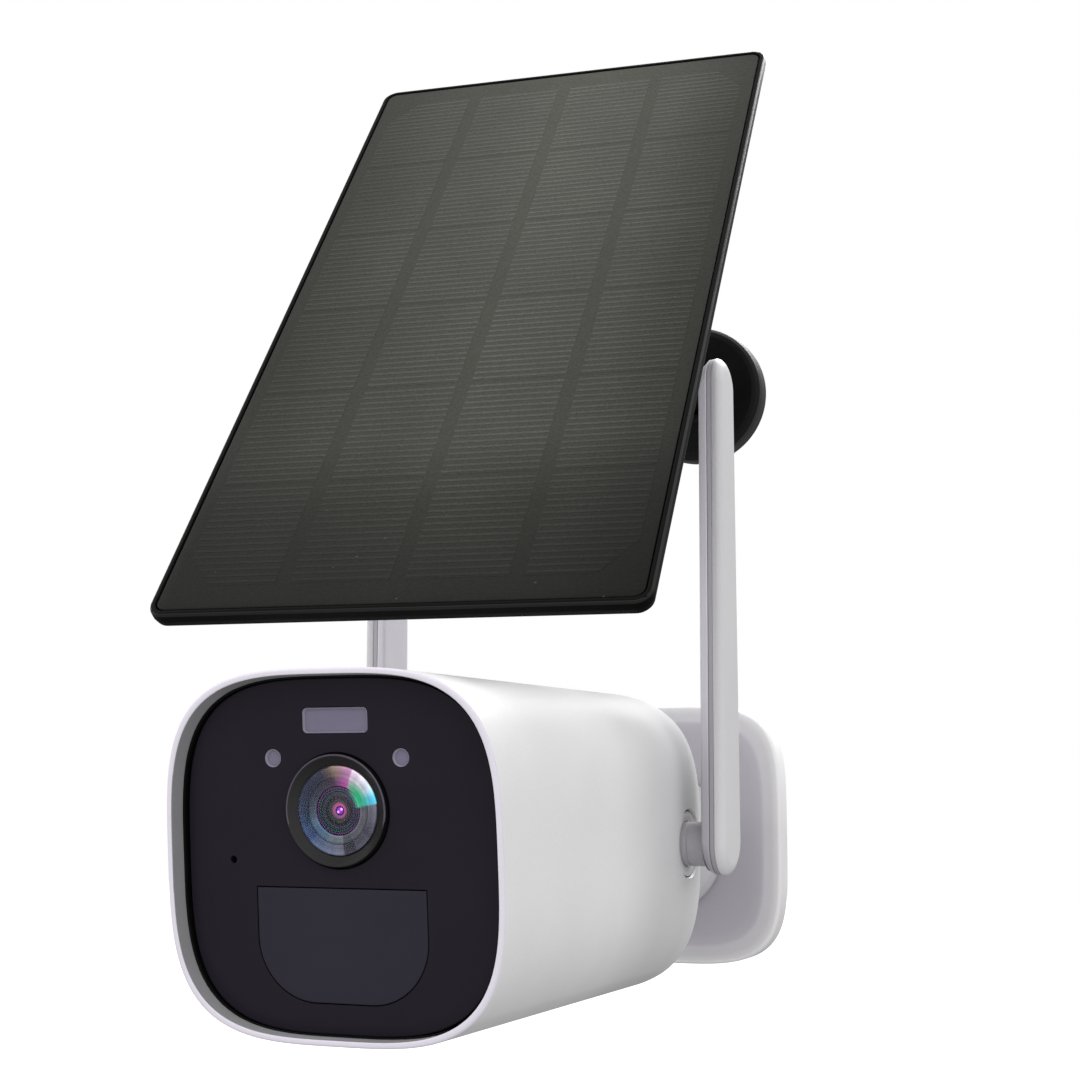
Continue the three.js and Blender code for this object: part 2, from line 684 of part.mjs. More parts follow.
const RIM = 1.4;
const tray = loft(SUN_W, SUN_L, 4, [
  [2.9, -SUN_T],
  [1.6, -SUN_T + 0.4],
  [0.5, -SUN_T + 1.5],
  [0, -SUN_T + 3.1],
  [0, -0.7],
  [0.2, -0.2],
  [0.7, 0],
]);
const glassPocket = slab(SUN_W - RIM * 2, SUN_L - RIM * 2, 2.8, -2.8, 2);
const backBays = [];
for (const sx of [-1, 1]) {
  for (let i = 0; i < 4; i += 1) {
    const y = (i - 1.5) * 50.4;
    const inner = Math.abs(i - 1.5) < 1;
    const w = inner ? 22 : 48;
    const x = inner ? sx * 38.5 : sx * 25.5;
    backBays.push(slab(w, 46, 3, -SUN_T - 2, -3.9, 0, 0, x, y));
  }
}
node('panel_tray', sun(cut(tray, glassPocket, ...backBays)), 0x191817, 0.45);
node('panel_glass', sun(slab(SUN_W - RIM * 2 - 0.6, SUN_L - RIM * 2 - 0.6, 2.5, -2.5, -0.1)), 0x3d3f3a, 0.3);

const boxW = 46;
const boxL = 60;
const boxBack = -SUN_T - 0.3;
const junction = slab(boxW, boxL, 8, boxBack - 7, boxBack, 1.4, 1.4);
node('junction_box', sun(cut(
  junction,
  at(new THREE.CylinderGeometry(6.4, 6.4, 12, 28).rotateX(Math.PI / 2), 0, 0, boxBack - 6),
)), 0x161616, 0.5);
const zTurn = (pairs, segments = 32) => lathe(pairs, segments).rotateX(Math.PI / 2);
node('panel_insert', sun(zTurn([
  [3.3, boxBack - 7],
  [6.1, boxBack - 7],
  [6.1, boxBack - 0.4],
  [3.3, boxBack - 0.4],
  [3.3, boxBack - 7],
], 28)), 0xb08d4a, 0.35, 0.9);
const gland = new THREE.CylinderGeometry(3.2, 3.8, 7, 24);
const glandBore = new THREE.CylinderGeometry(1.7, 1.7, 5, 16);
node('cable_gland', sun(cut(
  at(gland, 0, -boxL / 2 - 4, boxBack - 3.9),
  at(glandBore, 0, -boxL / 2 - 6, boxBack - 3.9),
)), 0x101010, 0.7);

// Stud with a hollow seat on the ball, ball, and the cup on the wall arm
const BZ = -SUN_BALL_BACK;
const studBack = boxBack - 7.3;
const SUN_SEAT = SUN_BALL_R + 0.4;
const stud = zTurn([
  ...hollow(SUN_SEAT, BZ, BZ + SUN_SEAT, BZ + Math.sqrt(SUN_SEAT ** 2 - 4.4 ** 2), 3),
  [4.4, studBack - 2.2],
  [10.4, studBack - 2],
  [11, studBack - 1.2],
  [11, studBack],
  [3, studBack],
  [3, boxBack - 1],
  [0, boxBack - 1],
], 32);
node('panel_stud', sun(stud), 0x1b1b1c, 0.5);
node('panel_ball', sun(ball(SUN_BALL_R, 0, 0, BZ)), STEEL, 0.3, 0.9);

const ballCentre = new THREE.Vector3(0, 0, BZ).applyMatrix4(panelFrame);
const cupAxis = ahead.clone().multiplyScalar(Math.cos(CUP_RISE)).addScaledVector(upright, Math.sin(CUP_RISE));
const cupFrame = new THREE.Matrix4().makeBasis(across, cupAxis.clone().cross(across), cupAxis).setPosition(ballCentre);
const cup = (geometry) => geometry.applyMatrix4(cupFrame);
const cupBlank = cup(zTurn([
  [0, -17],
  [8, -17],
  [10, -15],
  [12.6, -8],
  [13, -5],
  [13, -1.4],
  [0, -1.4],
], 28));
const cupSphere = cup(ball(SUN_SEAT, 0, 0, 0));

// Wall arm: a swept round bar from the base disc down and up to the cup
const neck = new THREE.Vector3(0, 0, -14).applyMatrix4(cupFrame);
const neckLow = new THREE.Vector3(0, 0, -22).applyMatrix4(cupFrame);
const armPath = new THREE.CatmullRomCurve3([
  new THREE.Vector3(DISC_X, -3.4, DISC_Z),
  new THREE.Vector3(DISC_X, -18, DISC_Z),
  new THREE.Vector3(DISC_X - 1.2, -48, DISC_Z - 12),
  new THREE.Vector3((DISC_X + neckLow.x) / 2 - 1.5, -80, DISC_Z - 34),
  neckLow,
  neck,
], false, 'centripetal');
const armRound = new THREE.Shape();
armRound.absarc(0, 0, 5.6, 0, Math.PI * 2);
const armBar = new THREE.ExtrudeGeometry(armRound, { steps: 16, curveSegments: 7, extrudePath: armPath });
const knobHole = cup(cylX(2.5, 9, 20, 0, -6.5, 20));
node('wall_arm', cut(join(armBar, cupBlank), cupSphere, knobHole), 0x1a1a1b, 0.5);

const cupInside = hollow(SUN_SEAT, 0, 4.8, -1.1, 3);
node('cup_ring', cup(zTurn([
  ...cupInside,
  [13, -1.1],
  [13.6, -0.4],
  [13.6, 3.4],
  [12.4, 4.8],
  cupInside[0],
], 32)), 0x222224, 0.55);

const knobX = 15;
const knobLobes = [];
for (let i = 0; i < 6; i += 1) {
  const t = (i / 6) * Math.PI * 2;
  knobLobes.push(cylX(2.2, knobX - 1, knobX + 8, 7.6 * Math.cos(t), -6.5 + 7.6 * Math.sin(t), 12));
}
node('clamp_knob', cup(join(
  cut(cylX(6.8, knobX, knobX + 6, 0, -6.5, 30), ...knobLobes),
  cylX(2.2, 12, knobX + 1, 0, -6.5, 20),
)), 0x141414, 0.6);

// Base disc on the wall
const inDisc = (geometry) => at(geometry, DISC_X, 0, DISC_Z);
const footHoles = [0, 1, 2].map((i) => {
  const t = Math.PI / 2 + (i * Math.PI * 2) / 3;
  return [12.6 * Math.cos(t), 12.6 * Math.sin(t)];
});
node('disc_plate', inDisc(cut(
  cylY(18.2, -3, 0, 0, 0, 32),
  ...footHoles.map(([x, z]) => cylY(2.2, -4, 1, x, z, 20)),
)), 0x1c1c1d, 0.5);
node('disc_cover', inDisc(lathe([
  [6.6, -8],
  [8.2, -8],
  [8.8, -7.6],
  [DISC_R - 2.6, -7.6],
  [DISC_R - 1.2, -7.2],
  [DISC_R - 0.3, -6.2],
  [DISC_R, -4.8],
  [DISC_R, -0.3],
  [DISC_R - 2.2, -0.3],
  [DISC_R - 2.2, -5.2],
  [9.4, -5.4],
  [6.6, -5.4],
  [6.6, -8],
], 32)), 0x151515, 0.4);
footHoles.forEach(([x, z], i) => {
  const head = lathe([[0, -5], [1.6, -5], [3, -4.3], [3.5, -3.3], [1.9, -3.3], [1.9, -0.2], [0, -0.2]], 20);
  node(`disc_screw_${i + 1}`, inDisc(at(head, x, 0, z)), STEEL, 0.35, 0.9);
});

export default group;
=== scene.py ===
from math import asin, copysign, cos, hypot, pi, radians, sin, sqrt, tan

import bmesh
import bpy
from mathutils import Matrix, Vector


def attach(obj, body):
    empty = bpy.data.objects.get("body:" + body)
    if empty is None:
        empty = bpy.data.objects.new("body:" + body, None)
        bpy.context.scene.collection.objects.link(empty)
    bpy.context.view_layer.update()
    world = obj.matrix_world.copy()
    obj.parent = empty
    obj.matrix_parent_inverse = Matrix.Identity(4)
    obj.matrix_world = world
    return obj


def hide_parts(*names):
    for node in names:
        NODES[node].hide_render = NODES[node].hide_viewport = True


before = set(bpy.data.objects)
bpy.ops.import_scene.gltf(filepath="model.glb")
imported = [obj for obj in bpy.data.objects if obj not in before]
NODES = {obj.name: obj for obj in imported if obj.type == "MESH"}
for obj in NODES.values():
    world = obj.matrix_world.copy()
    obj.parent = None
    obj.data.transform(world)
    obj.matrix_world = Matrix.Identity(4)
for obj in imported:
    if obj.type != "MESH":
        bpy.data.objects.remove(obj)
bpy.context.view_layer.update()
MM = 0.001
QUARTER = pi / 2

# ---------- numbers shared with the CAD, in millimetres
BODY_N = 3.43  # exponent of the body's squircle
BODY_W, BODY_H = 38.5, 38.0
FRONT, REAR, REAR_R = -210.0, -62.0, 28.0
LIP, WALL, LEAN = 1.3, 2.4, 0.1
PANEL_IN, INNER_IN = -4.3, -6.4  # the front panel's face and its back, behind the lip
LENS_Z, LENS_R = 9.15, 9.1
SPOT_Z, LED_X, LED_Z = 27.5, 14.8, 19.85
ANT_Y, ANT_Z = -94.3, -0.5
PLATE_N, PLATE_Z, PLATE_R = 4.42, -0.6, 38.0
MOUNT_Z, BALL_Y, BALL_R = -3.0, -26.0, 10.0
SUN_W, SUN_L, SUN_T, RIM = 111.6, 210.5, 5.4, 1.4
SUN_CENTRE = Vector((4.5, -139.7, 131.8))
SUN_TILT, SUN_YAW, CUP_RISE = radians(39.2), radians(5.1), radians(52)
SUN_BALL_BACK, SUN_BALL_R = 27.0, 9.0
BALL_GAP = 0.4  # between a ball and its seat
DISC_X, DISC_Z, DISC_R = 12.8, 132.3, 20.8


# ---------- materials
def nodes_of(name):
    mat = bpy.data.materials.new(name)
    mat.use_nodes = True
    tree = mat.node_tree
    return mat, tree, tree.nodes["Principled BSDF"]


def feed(tree, socket, value):
    """Sets a socket to a number, vector or colour, or links it to an output"""
    if isinstance(value, (int, float)):
        socket.default_value = value
    elif isinstance(value, tuple):
        socket.default_value = (*value, 1) if socket.type == "RGBA" else value
    else:
        tree.links.new(value, socket)


def dress(tree, node, **values):
    """Sets or links inputs, and sets properties, by name; an input's spaces are written as underscores"""
    for key, value in values.items():
        name = key.replace("_", " ")
        if name in node.inputs:
            feed(tree, node.inputs[name], value)
        else:
            setattr(node, key, value)
    return node


def add(tree, kind, **values):
    return dress(tree, tree.nodes.new(kind), **values)


def coords(tree, scale=(1, 1, 1)):
    place = add(tree, "ShaderNodeTexCoord")
    return add(tree, "ShaderNodeMapping", Scale=scale, Vector=place.outputs["Object"]).outputs["Vector"]


def split(tree, vector):
    return add(tree, "ShaderNodeSeparateXYZ", Vector=vector).outputs


def calc(tree, kind, a, b=None):
    node = add(tree, "ShaderNodeMath", operation=kind)
    feed(tree, node.inputs[0], a)
    if b is not None:
        feed(tree, node.inputs[1], b)
    return node.outputs["Value"]


def mix(tree, kind, a, b, factor=1.0):
    return add(tree, "ShaderNodeMix", data_type="RGBA", blend_type=kind, Factor=factor, A=a, B=b).outputs["Result"]


def span(tree, value, low=0.0, high=1.0, to_low=0.0, to_high=1.0):
    """Maps one range of a value onto another, clamped"""
    node = add(tree, "ShaderNodeMapRange", Value=value, From_Min=low, From_Max=high, To_Min=to_low, To_Max=to_high)
    return node.outputs["Result"]


def noise(tree, vector, scale, detail, roughness=0.5):
    node = add(tree, "ShaderNodeTexNoise", Vector=vector, Scale=scale, Detail=detail, Roughness=roughness)
    return node.outputs["Fac"]


def relief(tree, height, strength):
    return add(tree, "ShaderNodeBump", Height=height, Strength=strength, Distance=0.0002).outputs["Normal"]


def ramp(tree, source, *stops):
    """Colour ramp; a stop is (position, grey) or (position, red, green, blue)"""
    node = add(tree, "ShaderNodeValToRGB", Fac=source)
    elements = node.color_ramp.elements
    stops = [(stop[0], (*stop[1:], 1) if len(stop) == 4 else (*stop[1:] * 3, 1)) for stop in stops]
    for index, (position, colour) in ((0, stops[0]), (1, stops[-1])):
        elements[index].position = position
        elements[index].color = colour
    for position, colour in stops[1:-1]:
        elements.new(position).color = colour
    return node.outputs["Color"]


def drift(colour, amount):
    """Two ramp stops, a little darker and a little lighter than a colour"""
    return (0.3, *[c * (1 - amount) for c in colour]), (0.7, *[min(1.0, c * (1 + amount)) for c in colour])


def surface(name, colour, rough, grain, bump, mottle, patch=55, metallic=0.0, specular=0.5, stretch=(1, 1, 1),
            over=None):
    """Moulded or machined surface: fine grain in the relief, slow drift in colour and gloss"""
    mat, tree, shader = nodes_of(name)
    base = coords(tree)
    slow = noise(tree, base, patch, 4.0, 0.6)
    speck = noise(tree, coords(tree, stretch), grain, 3.0, 0.55)
    tone = mix(tree, "MULTIPLY", ramp(tree, slow, *drift(colour, mottle)), ramp(tree, speck, (0.3, 0.96), (0.7, 1)))
    if over:
        tone = mix(tree, "MULTIPLY", tone, over(tree, base))
    gloss = span(tree, slow, 0.3, 0.7, max(0.02, rough - 0.06), min(1.0, rough + 0.06))
    dress(tree, shader, Metallic=metallic, Specular_IOR_Level=specular, Base_Color=tone, Roughness=gloss,
          Normal=relief(tree, speck, bump))
    return mat


def along(axis, start, end, *stops):
    """Grey multiplier that follows one object axis from start to end, in millimetres"""
    def tone(tree, vector):
        return ramp(tree, span(tree, split(tree, vector)[axis], start * MM, end * MM), *stops)
    return tone


def toward_rim(tree, vector):
    """Wall plate: greyer in the middle, whiter over the rolled rim along its own outline, and lighter upward as painted
    light from above
    """
    place = split(tree, vector)
    height = calc(tree, "SUBTRACT", place["Z"], PLATE_Z * MM)
    powers = [calc(tree, "POWER", calc(tree, "ABSOLUTE", calc(tree, "DIVIDE", v, PLATE_R * MM)), PLATE_N)
              for v in (place["X"], height)]
    reach = calc(tree, "POWER", calc(tree, "ADD", *powers), 1 / PLATE_N)
    tone = ramp(tree, reach, (0.0, 0.385, 0.371, 0.404), (0.78, 0.417, 0.402, 0.436), (0.85, 0.449, 0.436, 0.466),
                (0.875, 0.54, 0.53, 0.55), (0.93, 0.54, 0.54, 0.545), (0.972, 0.65), (0.985, 0.78))
    # Painted light: the tone rises by a quarter toward the plate's top
    return mix(tree, "MULTIPLY", tone, along("Z", 0, 36, (0.0, 1.0), (1.0, 1.25))(tree, vector))


def film(name, colour, rough, mottle):
    """Laminate film: dimpled relief, faint dust specks and painted shade that darkens the tone toward the foot and both
    sides
    """
    mat, tree, shader = nodes_of(name)
    base = coords(tree)
    # Painted shade: the film darkens toward the panel's foot and toward both sides
    painted_shade_y = along("Y", -SUN_L / 2, SUN_L / 2, (0.0, 0.17), (0.075, 0.26), (0.15, 0.38), (0.25, 0.70), (0.45, 0.75),
                   (0.65, 0.87), (0.85, 0.95), (1.0, 1.0))
    painted_shade_x = along("X", -SUN_W / 2, SUN_W / 2, (0.0, 0.36), (0.025, 0.46), (0.10, 0.55), (0.20, 0.71), (0.375, 0.86),
                   (0.5, 1.0), (0.625, 0.98), (0.80, 0.83), (0.90, 0.57), (0.975, 0.42), (1.0, 0.36))
    cloud = noise(tree, base, 26.0, 5.0, 0.62)
    dimple = noise(tree, base, 1500.0, 2.0)
    dust = add(tree, "ShaderNodeTexVoronoi", Scale=140.0, Vector=base)
    tone = mix(tree, "MULTIPLY", mix(tree, "MULTIPLY", painted_shade_y(tree, base), painted_shade_x(tree, base)), colour)
    tone = mix(tree, "MULTIPLY", tone, ramp(tree, cloud, (0.3, 1 - mottle), (0.7, 1)))
    tone = mix(tree, "ADD", tone, ramp(tree, dust.outputs["Distance"], (0.0, 0.5, 0.5, 0.48), (0.045, 0)), 0.12)
    tone = mix(tree, "MULTIPLY", tone, ramp(tree, dimple, (0.3, 0.80), (0.7, 1.12)))
    dress(tree, shader, Specular_IOR_Level=0.07, Base_Color=tone, Normal=relief(tree, dimple, 0.30),
          Roughness=span(tree, cloud, 0, 1, rough - 0.06, rough + 0.08))
    return mat


def clear_glass(name, tint, rough, ior):
    mat, tree, shader = nodes_of(name)
    smear = noise(tree, coords(tree), 90.0, 3.0)
    dress(tree, shader, Transmission_Weight=1.0, IOR=ior, Specular_Tint=(0.75, 0.7, 1.0),
          Base_Color=ramp(tree, smear, *drift(tint, 0.02)), Roughness=span(tree, smear, 0, 1, rough, rough + 0.03))
    return mat


def painted_lens_reflections(name):
    """Coated cup behind the front glass: painted sector reflections turning about the lens axis, fine rings, and a
    violet pupil with painted glints; the pattern also glows faintly as painted light
    """
    mat, tree, shader = nodes_of(name)
    place = coords(tree)
    x, _, z = split(tree, place)

    def degrees(*stops):
        """A ramp round the axis, stops in degrees from the right-hand side over the top"""
        return ramp(tree, share, *[(stop[0] / 360, *stop[1:]) for stop in stops])

    def out(*stops):
        return ramp(tree, reach, *stops)

    def distance(dx, dz, scale):
        square = calc(tree, "ADD", calc(tree, "MULTIPLY", dx, dx), calc(tree, "MULTIPLY", dz, dz))
        return calc(tree, "DIVIDE", calc(tree, "SQRT", square), scale)

    def times(a, b):
        return mix(tree, "MULTIPLY", a, b)

    turned = calc(tree, "MULTIPLY", calc(tree, "ARCTAN2", z, x), 1 / (2 * pi))
    share = calc(tree, "FRACT", calc(tree, "ADD", turned, 1.0))
    reach = distance(x, z, LENS_R * MM)
    # Painted reflections: coloured sectors round the lens axis, outside and inside the middle ring
    outer = degrees(
        (0, 0.24, 0.24, 0.29), (8, 0.28, 0.28, 0.33), (9.5, 0.14, 0.66, 0.8), (16, 0.1, 0.72, 0.95),
        (24, 0.3, 0.84, 0.98), (33, 0.8, 0.95, 1.0), (48, 0.98, 0.95, 1.0), (65, 0.95, 0.74, 0.9),
        (67, 0.58, 0.27, 0.52), (80, 0.5, 0.26, 0.36), (92, 0.32, 0.23, 0.16), (108, 0.14, 0.115, 0.105),
        (116, 0.05, 0.055, 0.095), (150, 0.03, 0.045, 0.09), (185, 0.028, 0.06, 0.13), (200, 0.035, 0.08, 0.18),
        (203, 0.055, 0.115, 0.23), (222, 0.06, 0.11, 0.29), (226, 0.12, 0.19, 0.36), (250, 0.21, 0.27, 0.4),
        (266, 0.27, 0.3, 0.4), (277, 0.24, 0.25, 0.33), (279, 0.085, 0.088, 0.125), (296, 0.065, 0.068, 0.095),
        (299, 0.11, 0.112, 0.145), (330, 0.12, 0.12, 0.155), (350, 0.2, 0.2, 0.245), (360, 0.24, 0.24, 0.29),
    )
    inner = degrees(
        (0, 0.17, 0.17, 0.19), (7, 0.15, 0.17, 0.17), (9.5, 0.05, 0.55, 0.32), (25, 0.015, 0.66, 0.28),
        (42, 0.05, 0.64, 0.28), (58, 0.24, 0.55, 0.34), (64, 0.42, 0.46, 0.46), (66, 0.62, 0.12, 0.46),
        (80, 0.4, 0.1, 0.32), (98, 0.085, 0.05, 0.088), (112, 0.048, 0.045, 0.068), (150, 0.055, 0.066, 0.095),
        (180, 0.085, 0.12, 0.17), (196, 0.095, 0.155, 0.215), (199, 0.135, 0.235, 0.33), (222, 0.115, 0.22, 0.36),
        (240, 0.135, 0.24, 0.33), (252, 0.24, 0.3, 0.34), (278, 0.23, 0.26, 0.29), (281, 0.17, 0.18, 0.21),
        (300, 0.16, 0.17, 0.19), (325, 0.2, 0.205, 0.225), (345, 0.18, 0.18, 0.2), (360, 0.17, 0.17, 0.19),
    )
    core = out(
        (0.00, 0.34, 0.02, 0.6), (0.07, 0.26, 0.015, 0.48), (0.086, 0.012, 0.004, 0.024), (0.104, 0.012, 0.004, 0.016),
        (0.118, 0.34, 0.08, 0.2), (0.165, 0.26, 0.06, 0.15), (0.195, 0.03, 0.028, 0.031), (0.25, 0.028, 0.031, 0.033),
        (0.285, 0.018, 0.01, 0.01), (0.332, 0.008, 0.009, 0.009), (0.345, 0.012, 0.06, 0.05),
        (0.358, 0.006, 0.008, 0.008), (0.369, 0.007, 0.007, 0.009), (0.38, 0.13, 0.026, 0.18),
        (0.391, 0.004, 0.004, 0.006), (0.402, 0.004, 0.005, 0.006), (0.413, 0.012, 0.075, 0.066),
        (0.424, 0.003, 0.003, 0.004), (0.44, 0.004, 0.005, 0.006), (0.456, 0.014, 0.078, 0.07),
        (0.47, 0.005, 0.007, 0.008), (0.49, 0.03, 0.009, 0.014), (0.502, 0.006, 0.004, 0.007),
        (0.514, 0.15, 0.028, 0.22), (0.525, 0.005, 0.003, 0.007), (0.548, 0.002, 0.002, 0.003),
    )
    rings = add(tree, "ShaderNodeTexWave", wave_type="RINGS", rings_direction="Y", wave_profile="SIN",
                Scale=330.0, Distortion=0.6, Vector=place)
    fine = ramp(tree, rings.outputs["Fac"], (0.0, 0.80, 0.80, 0.84), (1.0, 1))
    cloud = ramp(tree, noise(tree, place, 700.0, 3.0), (0.3, 0.86), (0.7, 1.1))
    # The painted reflection's bright arc from the right to the top is smooth, the rest shows machined grooves; both
    # ramps paint a highlight line near the outer edge
    painted_reflection_arc = degrees((0, 0), (8.5, 0), (9.5, 1), (94, 1), (104, 0), (360, 0))
    border = mix(tree, "MIX", out((0.735, 0), (0.765, 1)), out((0.66, 0), (0.83, 1)), painted_reflection_arc)
    # Painted reflection: the tone steps lighter and darker from sector to sector
    facets = degrees(
        (0, 1.0), (18, 1.05), (19, 0.92), (33, 1.0), (34, 0.90), (49, 1.0), (50, 0.92), (66, 1.0), (84, 0.96),
        (150, 1.0), (186, 0.95), (188, 1.12), (204, 1.0), (206, 1.15), (218, 1.0), (236, 1.1), (238, 0.94),
        (256, 1.04), (258, 0.9), (278, 1.06), (281, 0.74), (297, 0.72), (300, 1.0), (322, 1.06), (324, 0.88),
        (345, 1.0), (347, 1.1), (360, 1.0))
    grooved = out((0.56, 0.66), (0.60, 0.52), (0.725, 0.40), (0.75, 0.16), (0.775, 0.46), (0.80, 0.36), (0.82, 0.50),
                  (0.845, 0.36), (0.865, 0.50), (0.89, 0.40), (0.955, 0.72), (0.985, 0.20))
    smooth = out((0.56, 0.46), (0.60, 0.58), (0.74, 0.60), (0.82, 0.64), (0.84, 0.56), (0.86, 0.68), (0.885, 0.60),
                 (0.91, 0.76), (0.955, 1.0), (0.985, 1.0))
    zones = times(mix(tree, "MIX", inner, outer, border), facets)
    zones = times(times(zones, mix(tree, "MIX", grooved, smooth, painted_reflection_arc)), times(fine, cloud))
    # Painted reflection: a green wash inside the bright sector
    green_in = times(degrees((0, 0), (7, 0), (10, 0.02, 0.40, 0.22), (30, 0.01, 0.40, 0.18), (48, 0.02, 0.22, 0.12),
                             (63, 0), (360, 0)),
                     out((0.40, 0), (0.47, 0.35), (0.545, 1)))
    # Painted reflection: the pupil's rings turn brighter and pinker toward the upper right, tealer toward the lower
    # left
    core = times(core, degrees((0, 1.0, 0.9, 1.0), (60, 1.15, 1.05, 1.15), (130, 1), (200, 0.75, 1.0, 0.9),
                               (240, 0.6, 1.05, 0.9), (300, 0.9, 1.0, 1.0), (360, 1.0, 0.9, 1.0)))
    pattern = mix(tree, "MIX", mix(tree, "ADD", core, green_in), zones, out((0.552, 0), (0.562, 1)))
    # Two painted glints on the pupil
    painted_glint_radius = 0.34 * MM
    for gx, gz, tint in ((-0.42, -0.24, (0.80, 0.42, 0.75)), (0.34, 0.30, (0.85, 0.60, 0.80))):
        away = distance(calc(tree, "ADD", x, -gx * MM), calc(tree, "ADD", z, -gz * MM), painted_glint_radius)
        pattern = mix(tree, "ADD", pattern, ramp(tree, away, (0.45, *tint), (1.0, 0)))
    # The pattern also feeds the emission, so the lens glows faintly: painted light
    dress(tree, shader, Specular_IOR_Level=0.15, Roughness=0.15, Base_Color=pattern, Emission_Color=pattern,
          Emission_Strength=0.22)
    return mat


# Name, colour, roughness, grain scale, relief, mottle, and what else differs from plain moulded plastic
M = {
    "plate": surface("plate_plastic", (0.98, 0.98, 0.98), 0.5, 1500, 0.10, 0.02, over=toward_rim),
    # Tray edge: the tray black made glossier and a little lighter on the front rounding; the lighter colour is a
    # painted highlight line
    "tray_edge": surface("tray_edge", (0.009, 0.0086, 0.0080), 0.26, 1500, 0.05, 0.08, specular=0.2),
    # Shell: the darker band toward the rear of the body, about y -115 to -80, is painted shade
    "shell": surface("shell_plastic", (0.80, 0.80, 0.80), 0.42, 1700, 0.06, 0.012, over=along(
        "Y", -210, -60, (0.0, 1.0), (0.45, 0.98), (0.64, 0.80), (0.76, 0.79), (0.86, 0.96), (1.0, 1.0))),
    "bell": surface("bell_plastic", (0.535, 0.53, 0.54), 0.45, 1500, 0.10, 0.02),
    # The lip is the shell's white with painted shade: a darker, lavender-tinted copy for the front-facing faces
    "lip": surface("lip_painted_shade", (0.72, 0.70, 0.76), 0.45, 1700, 0.05, 0.012),
    # The hood is the shell's white plastic on the recess wall, painted dark grey as shade
    "hood": surface("hood_painted_shade", (0.33, 0.33, 0.335), 0.6, 1200, 0.25, 0.05),
    "pale": surface("pale_plastic", (0.395, 0.38, 0.405), 0.5, 1500, 0.10, 0.02),
    "antenna": surface("antenna_shell", (0.66, 0.66, 0.665), 0.4, 1700, 0.05, 0.012),
    # Antenna back band and trim: darker toward their lower ends near the hub, painted shade
    "antenna_in": surface("antenna_back", (0.78, 0.765, 0.81), 0.45, 1700, 0.05, 0.012, over=along(
        "Z", -10, 125, (0.0, 0.50), (0.18, 0.58), (0.34, 0.92), (0.5, 1.0), (1.0, 1.0))),
    "trim": surface("antenna_trim", (0.55, 0.535, 0.58), 0.5, 1500, 0.06, 0.02, over=along(
        "Z", -10, 125, (0.0, 0.62), (0.22, 0.68), (0.45, 0.85), (0.8, 1.0), (1.0, 1.0))),
    "panel_black": surface("front_black", (0.0142, 0.0125, 0.0180), 0.3, 2200, 0.03, 0.10, patch=30, specular=0.07),
    "seal": surface("seal_rubber", (0.004, 0.004, 0.004), 0.75, 900, 0.2, 0.2, specular=0.15),
    "lamp": surface("lamp_window", (0.160, 0.149, 0.211), 0.3, 700, 0.12, 0.05, specular=0.3),
    "lamp_edge": surface("lamp_edge", (0.34, 0.33, 0.38), 0.4, 900, 0.1, 0.06, specular=0.3),
    "sensor": surface("sensor_film", (0.0240, 0.0227, 0.0320), 0.42, 1900, 0.08, 0.05, patch=25, specular=0.08),
    # Lens bezel: lighter on its left slope and darker to the right, painted light
    "bezel": surface("lens_bezel", (0.024, 0.024, 0.0245), 0.36, 2000, 0.05, 0.08, specular=0.16, over=along(
        "X", -12, 12, (0.0, 1.0), (0.3, 0.62), (0.5, 0.45), (1.0, 0.36))),
    # The bezel's rounded outer edge is a lighter purple copy of the bezel black: a painted highlight line
    "bezel_edge": surface("bezel_edge_painted_highlight", (0.064, 0.050, 0.078), 0.3, 2000, 0.04, 0.06),
    "dark": surface("dark_moulding", (0.012, 0.012, 0.013), 0.6, 1200, 0.2, 0.15),
    "board": surface("circuit_board", (0.018, 0.085, 0.035), 0.45, 600, 0.1, 0.2, patch=240),
    "lamp_board": surface("white_board", (0.62, 0.62, 0.55), 0.5, 700, 0.1, 0.06, patch=200),
    "steel": surface("zinc_steel", (0.50, 0.51, 0.53), 0.36, 420, 0.12, 0.08, metallic=1.0, stretch=(1, 1, 9)),
    "ball": surface("ball_steel", (0.56, 0.56, 0.58), 0.2, 500, 0.06, 0.05, metallic=1.0, stretch=(1, 8, 1)),
    "brass": surface("insert_brass", (0.58, 0.42, 0.17), 0.32, 500, 0.1, 0.08, metallic=1.0),
    "cell": surface("cell_wrap", (0.03, 0.14, 0.33), 0.35, 800, 0.08, 0.05),
    "grip": surface("grip_plastic", (0.50, 0.48, 0.55), 0.55, 1200, 0.18, 0.03),
    "rubber": surface("flap_rubber", (0.60, 0.59, 0.63), 0.8, 900, 0.3, 0.03, specular=0.25),
    "tray": surface("tray_black", (0.0042, 0.0040, 0.0037), 0.42, 1500, 0.12, 0.12, specular=0.03),
    "bracket": surface("bracket_black", (0.009, 0.0085, 0.009), 0.45, 1300, 0.22, 0.12, specular=0.25),
    "disc": surface("disc_black", (0.006, 0.0056, 0.0058), 0.42, 1300, 0.20, 0.10, specular=0.12),
    # The disc's side wall is a lighter copy of the disc black: painted light
    "disc_side": surface("disc_side", (0.025, 0.0228, 0.024), 0.5, 1300, 0.20, 0.08, specular=0.2),
    "mesh": surface("vent_mesh", (0.02, 0.02, 0.022), 0.6, 2600, 0.5, 0.3),
    "film": film("laminate_film", (0.0730, 0.0745, 0.0610), 0.42, 0.14),
    "cell_face": film("cell_face", (0.0770, 0.0790, 0.0650), 0.40, 0.14),
    "finger": film("cell_finger", (0.1250, 0.1290, 0.1110), 0.45, 0.30),
    "glass": clear_glass("lens_glass_clear", (0.97, 0.97, 1.0), 0.02, 1.15),
    "coated": painted_lens_reflections("painted_lens_reflections"),
}


# ---------- mesh helpers, all in millimetres
def at(x, y, z):
    return Matrix.Translation((x, y, z))


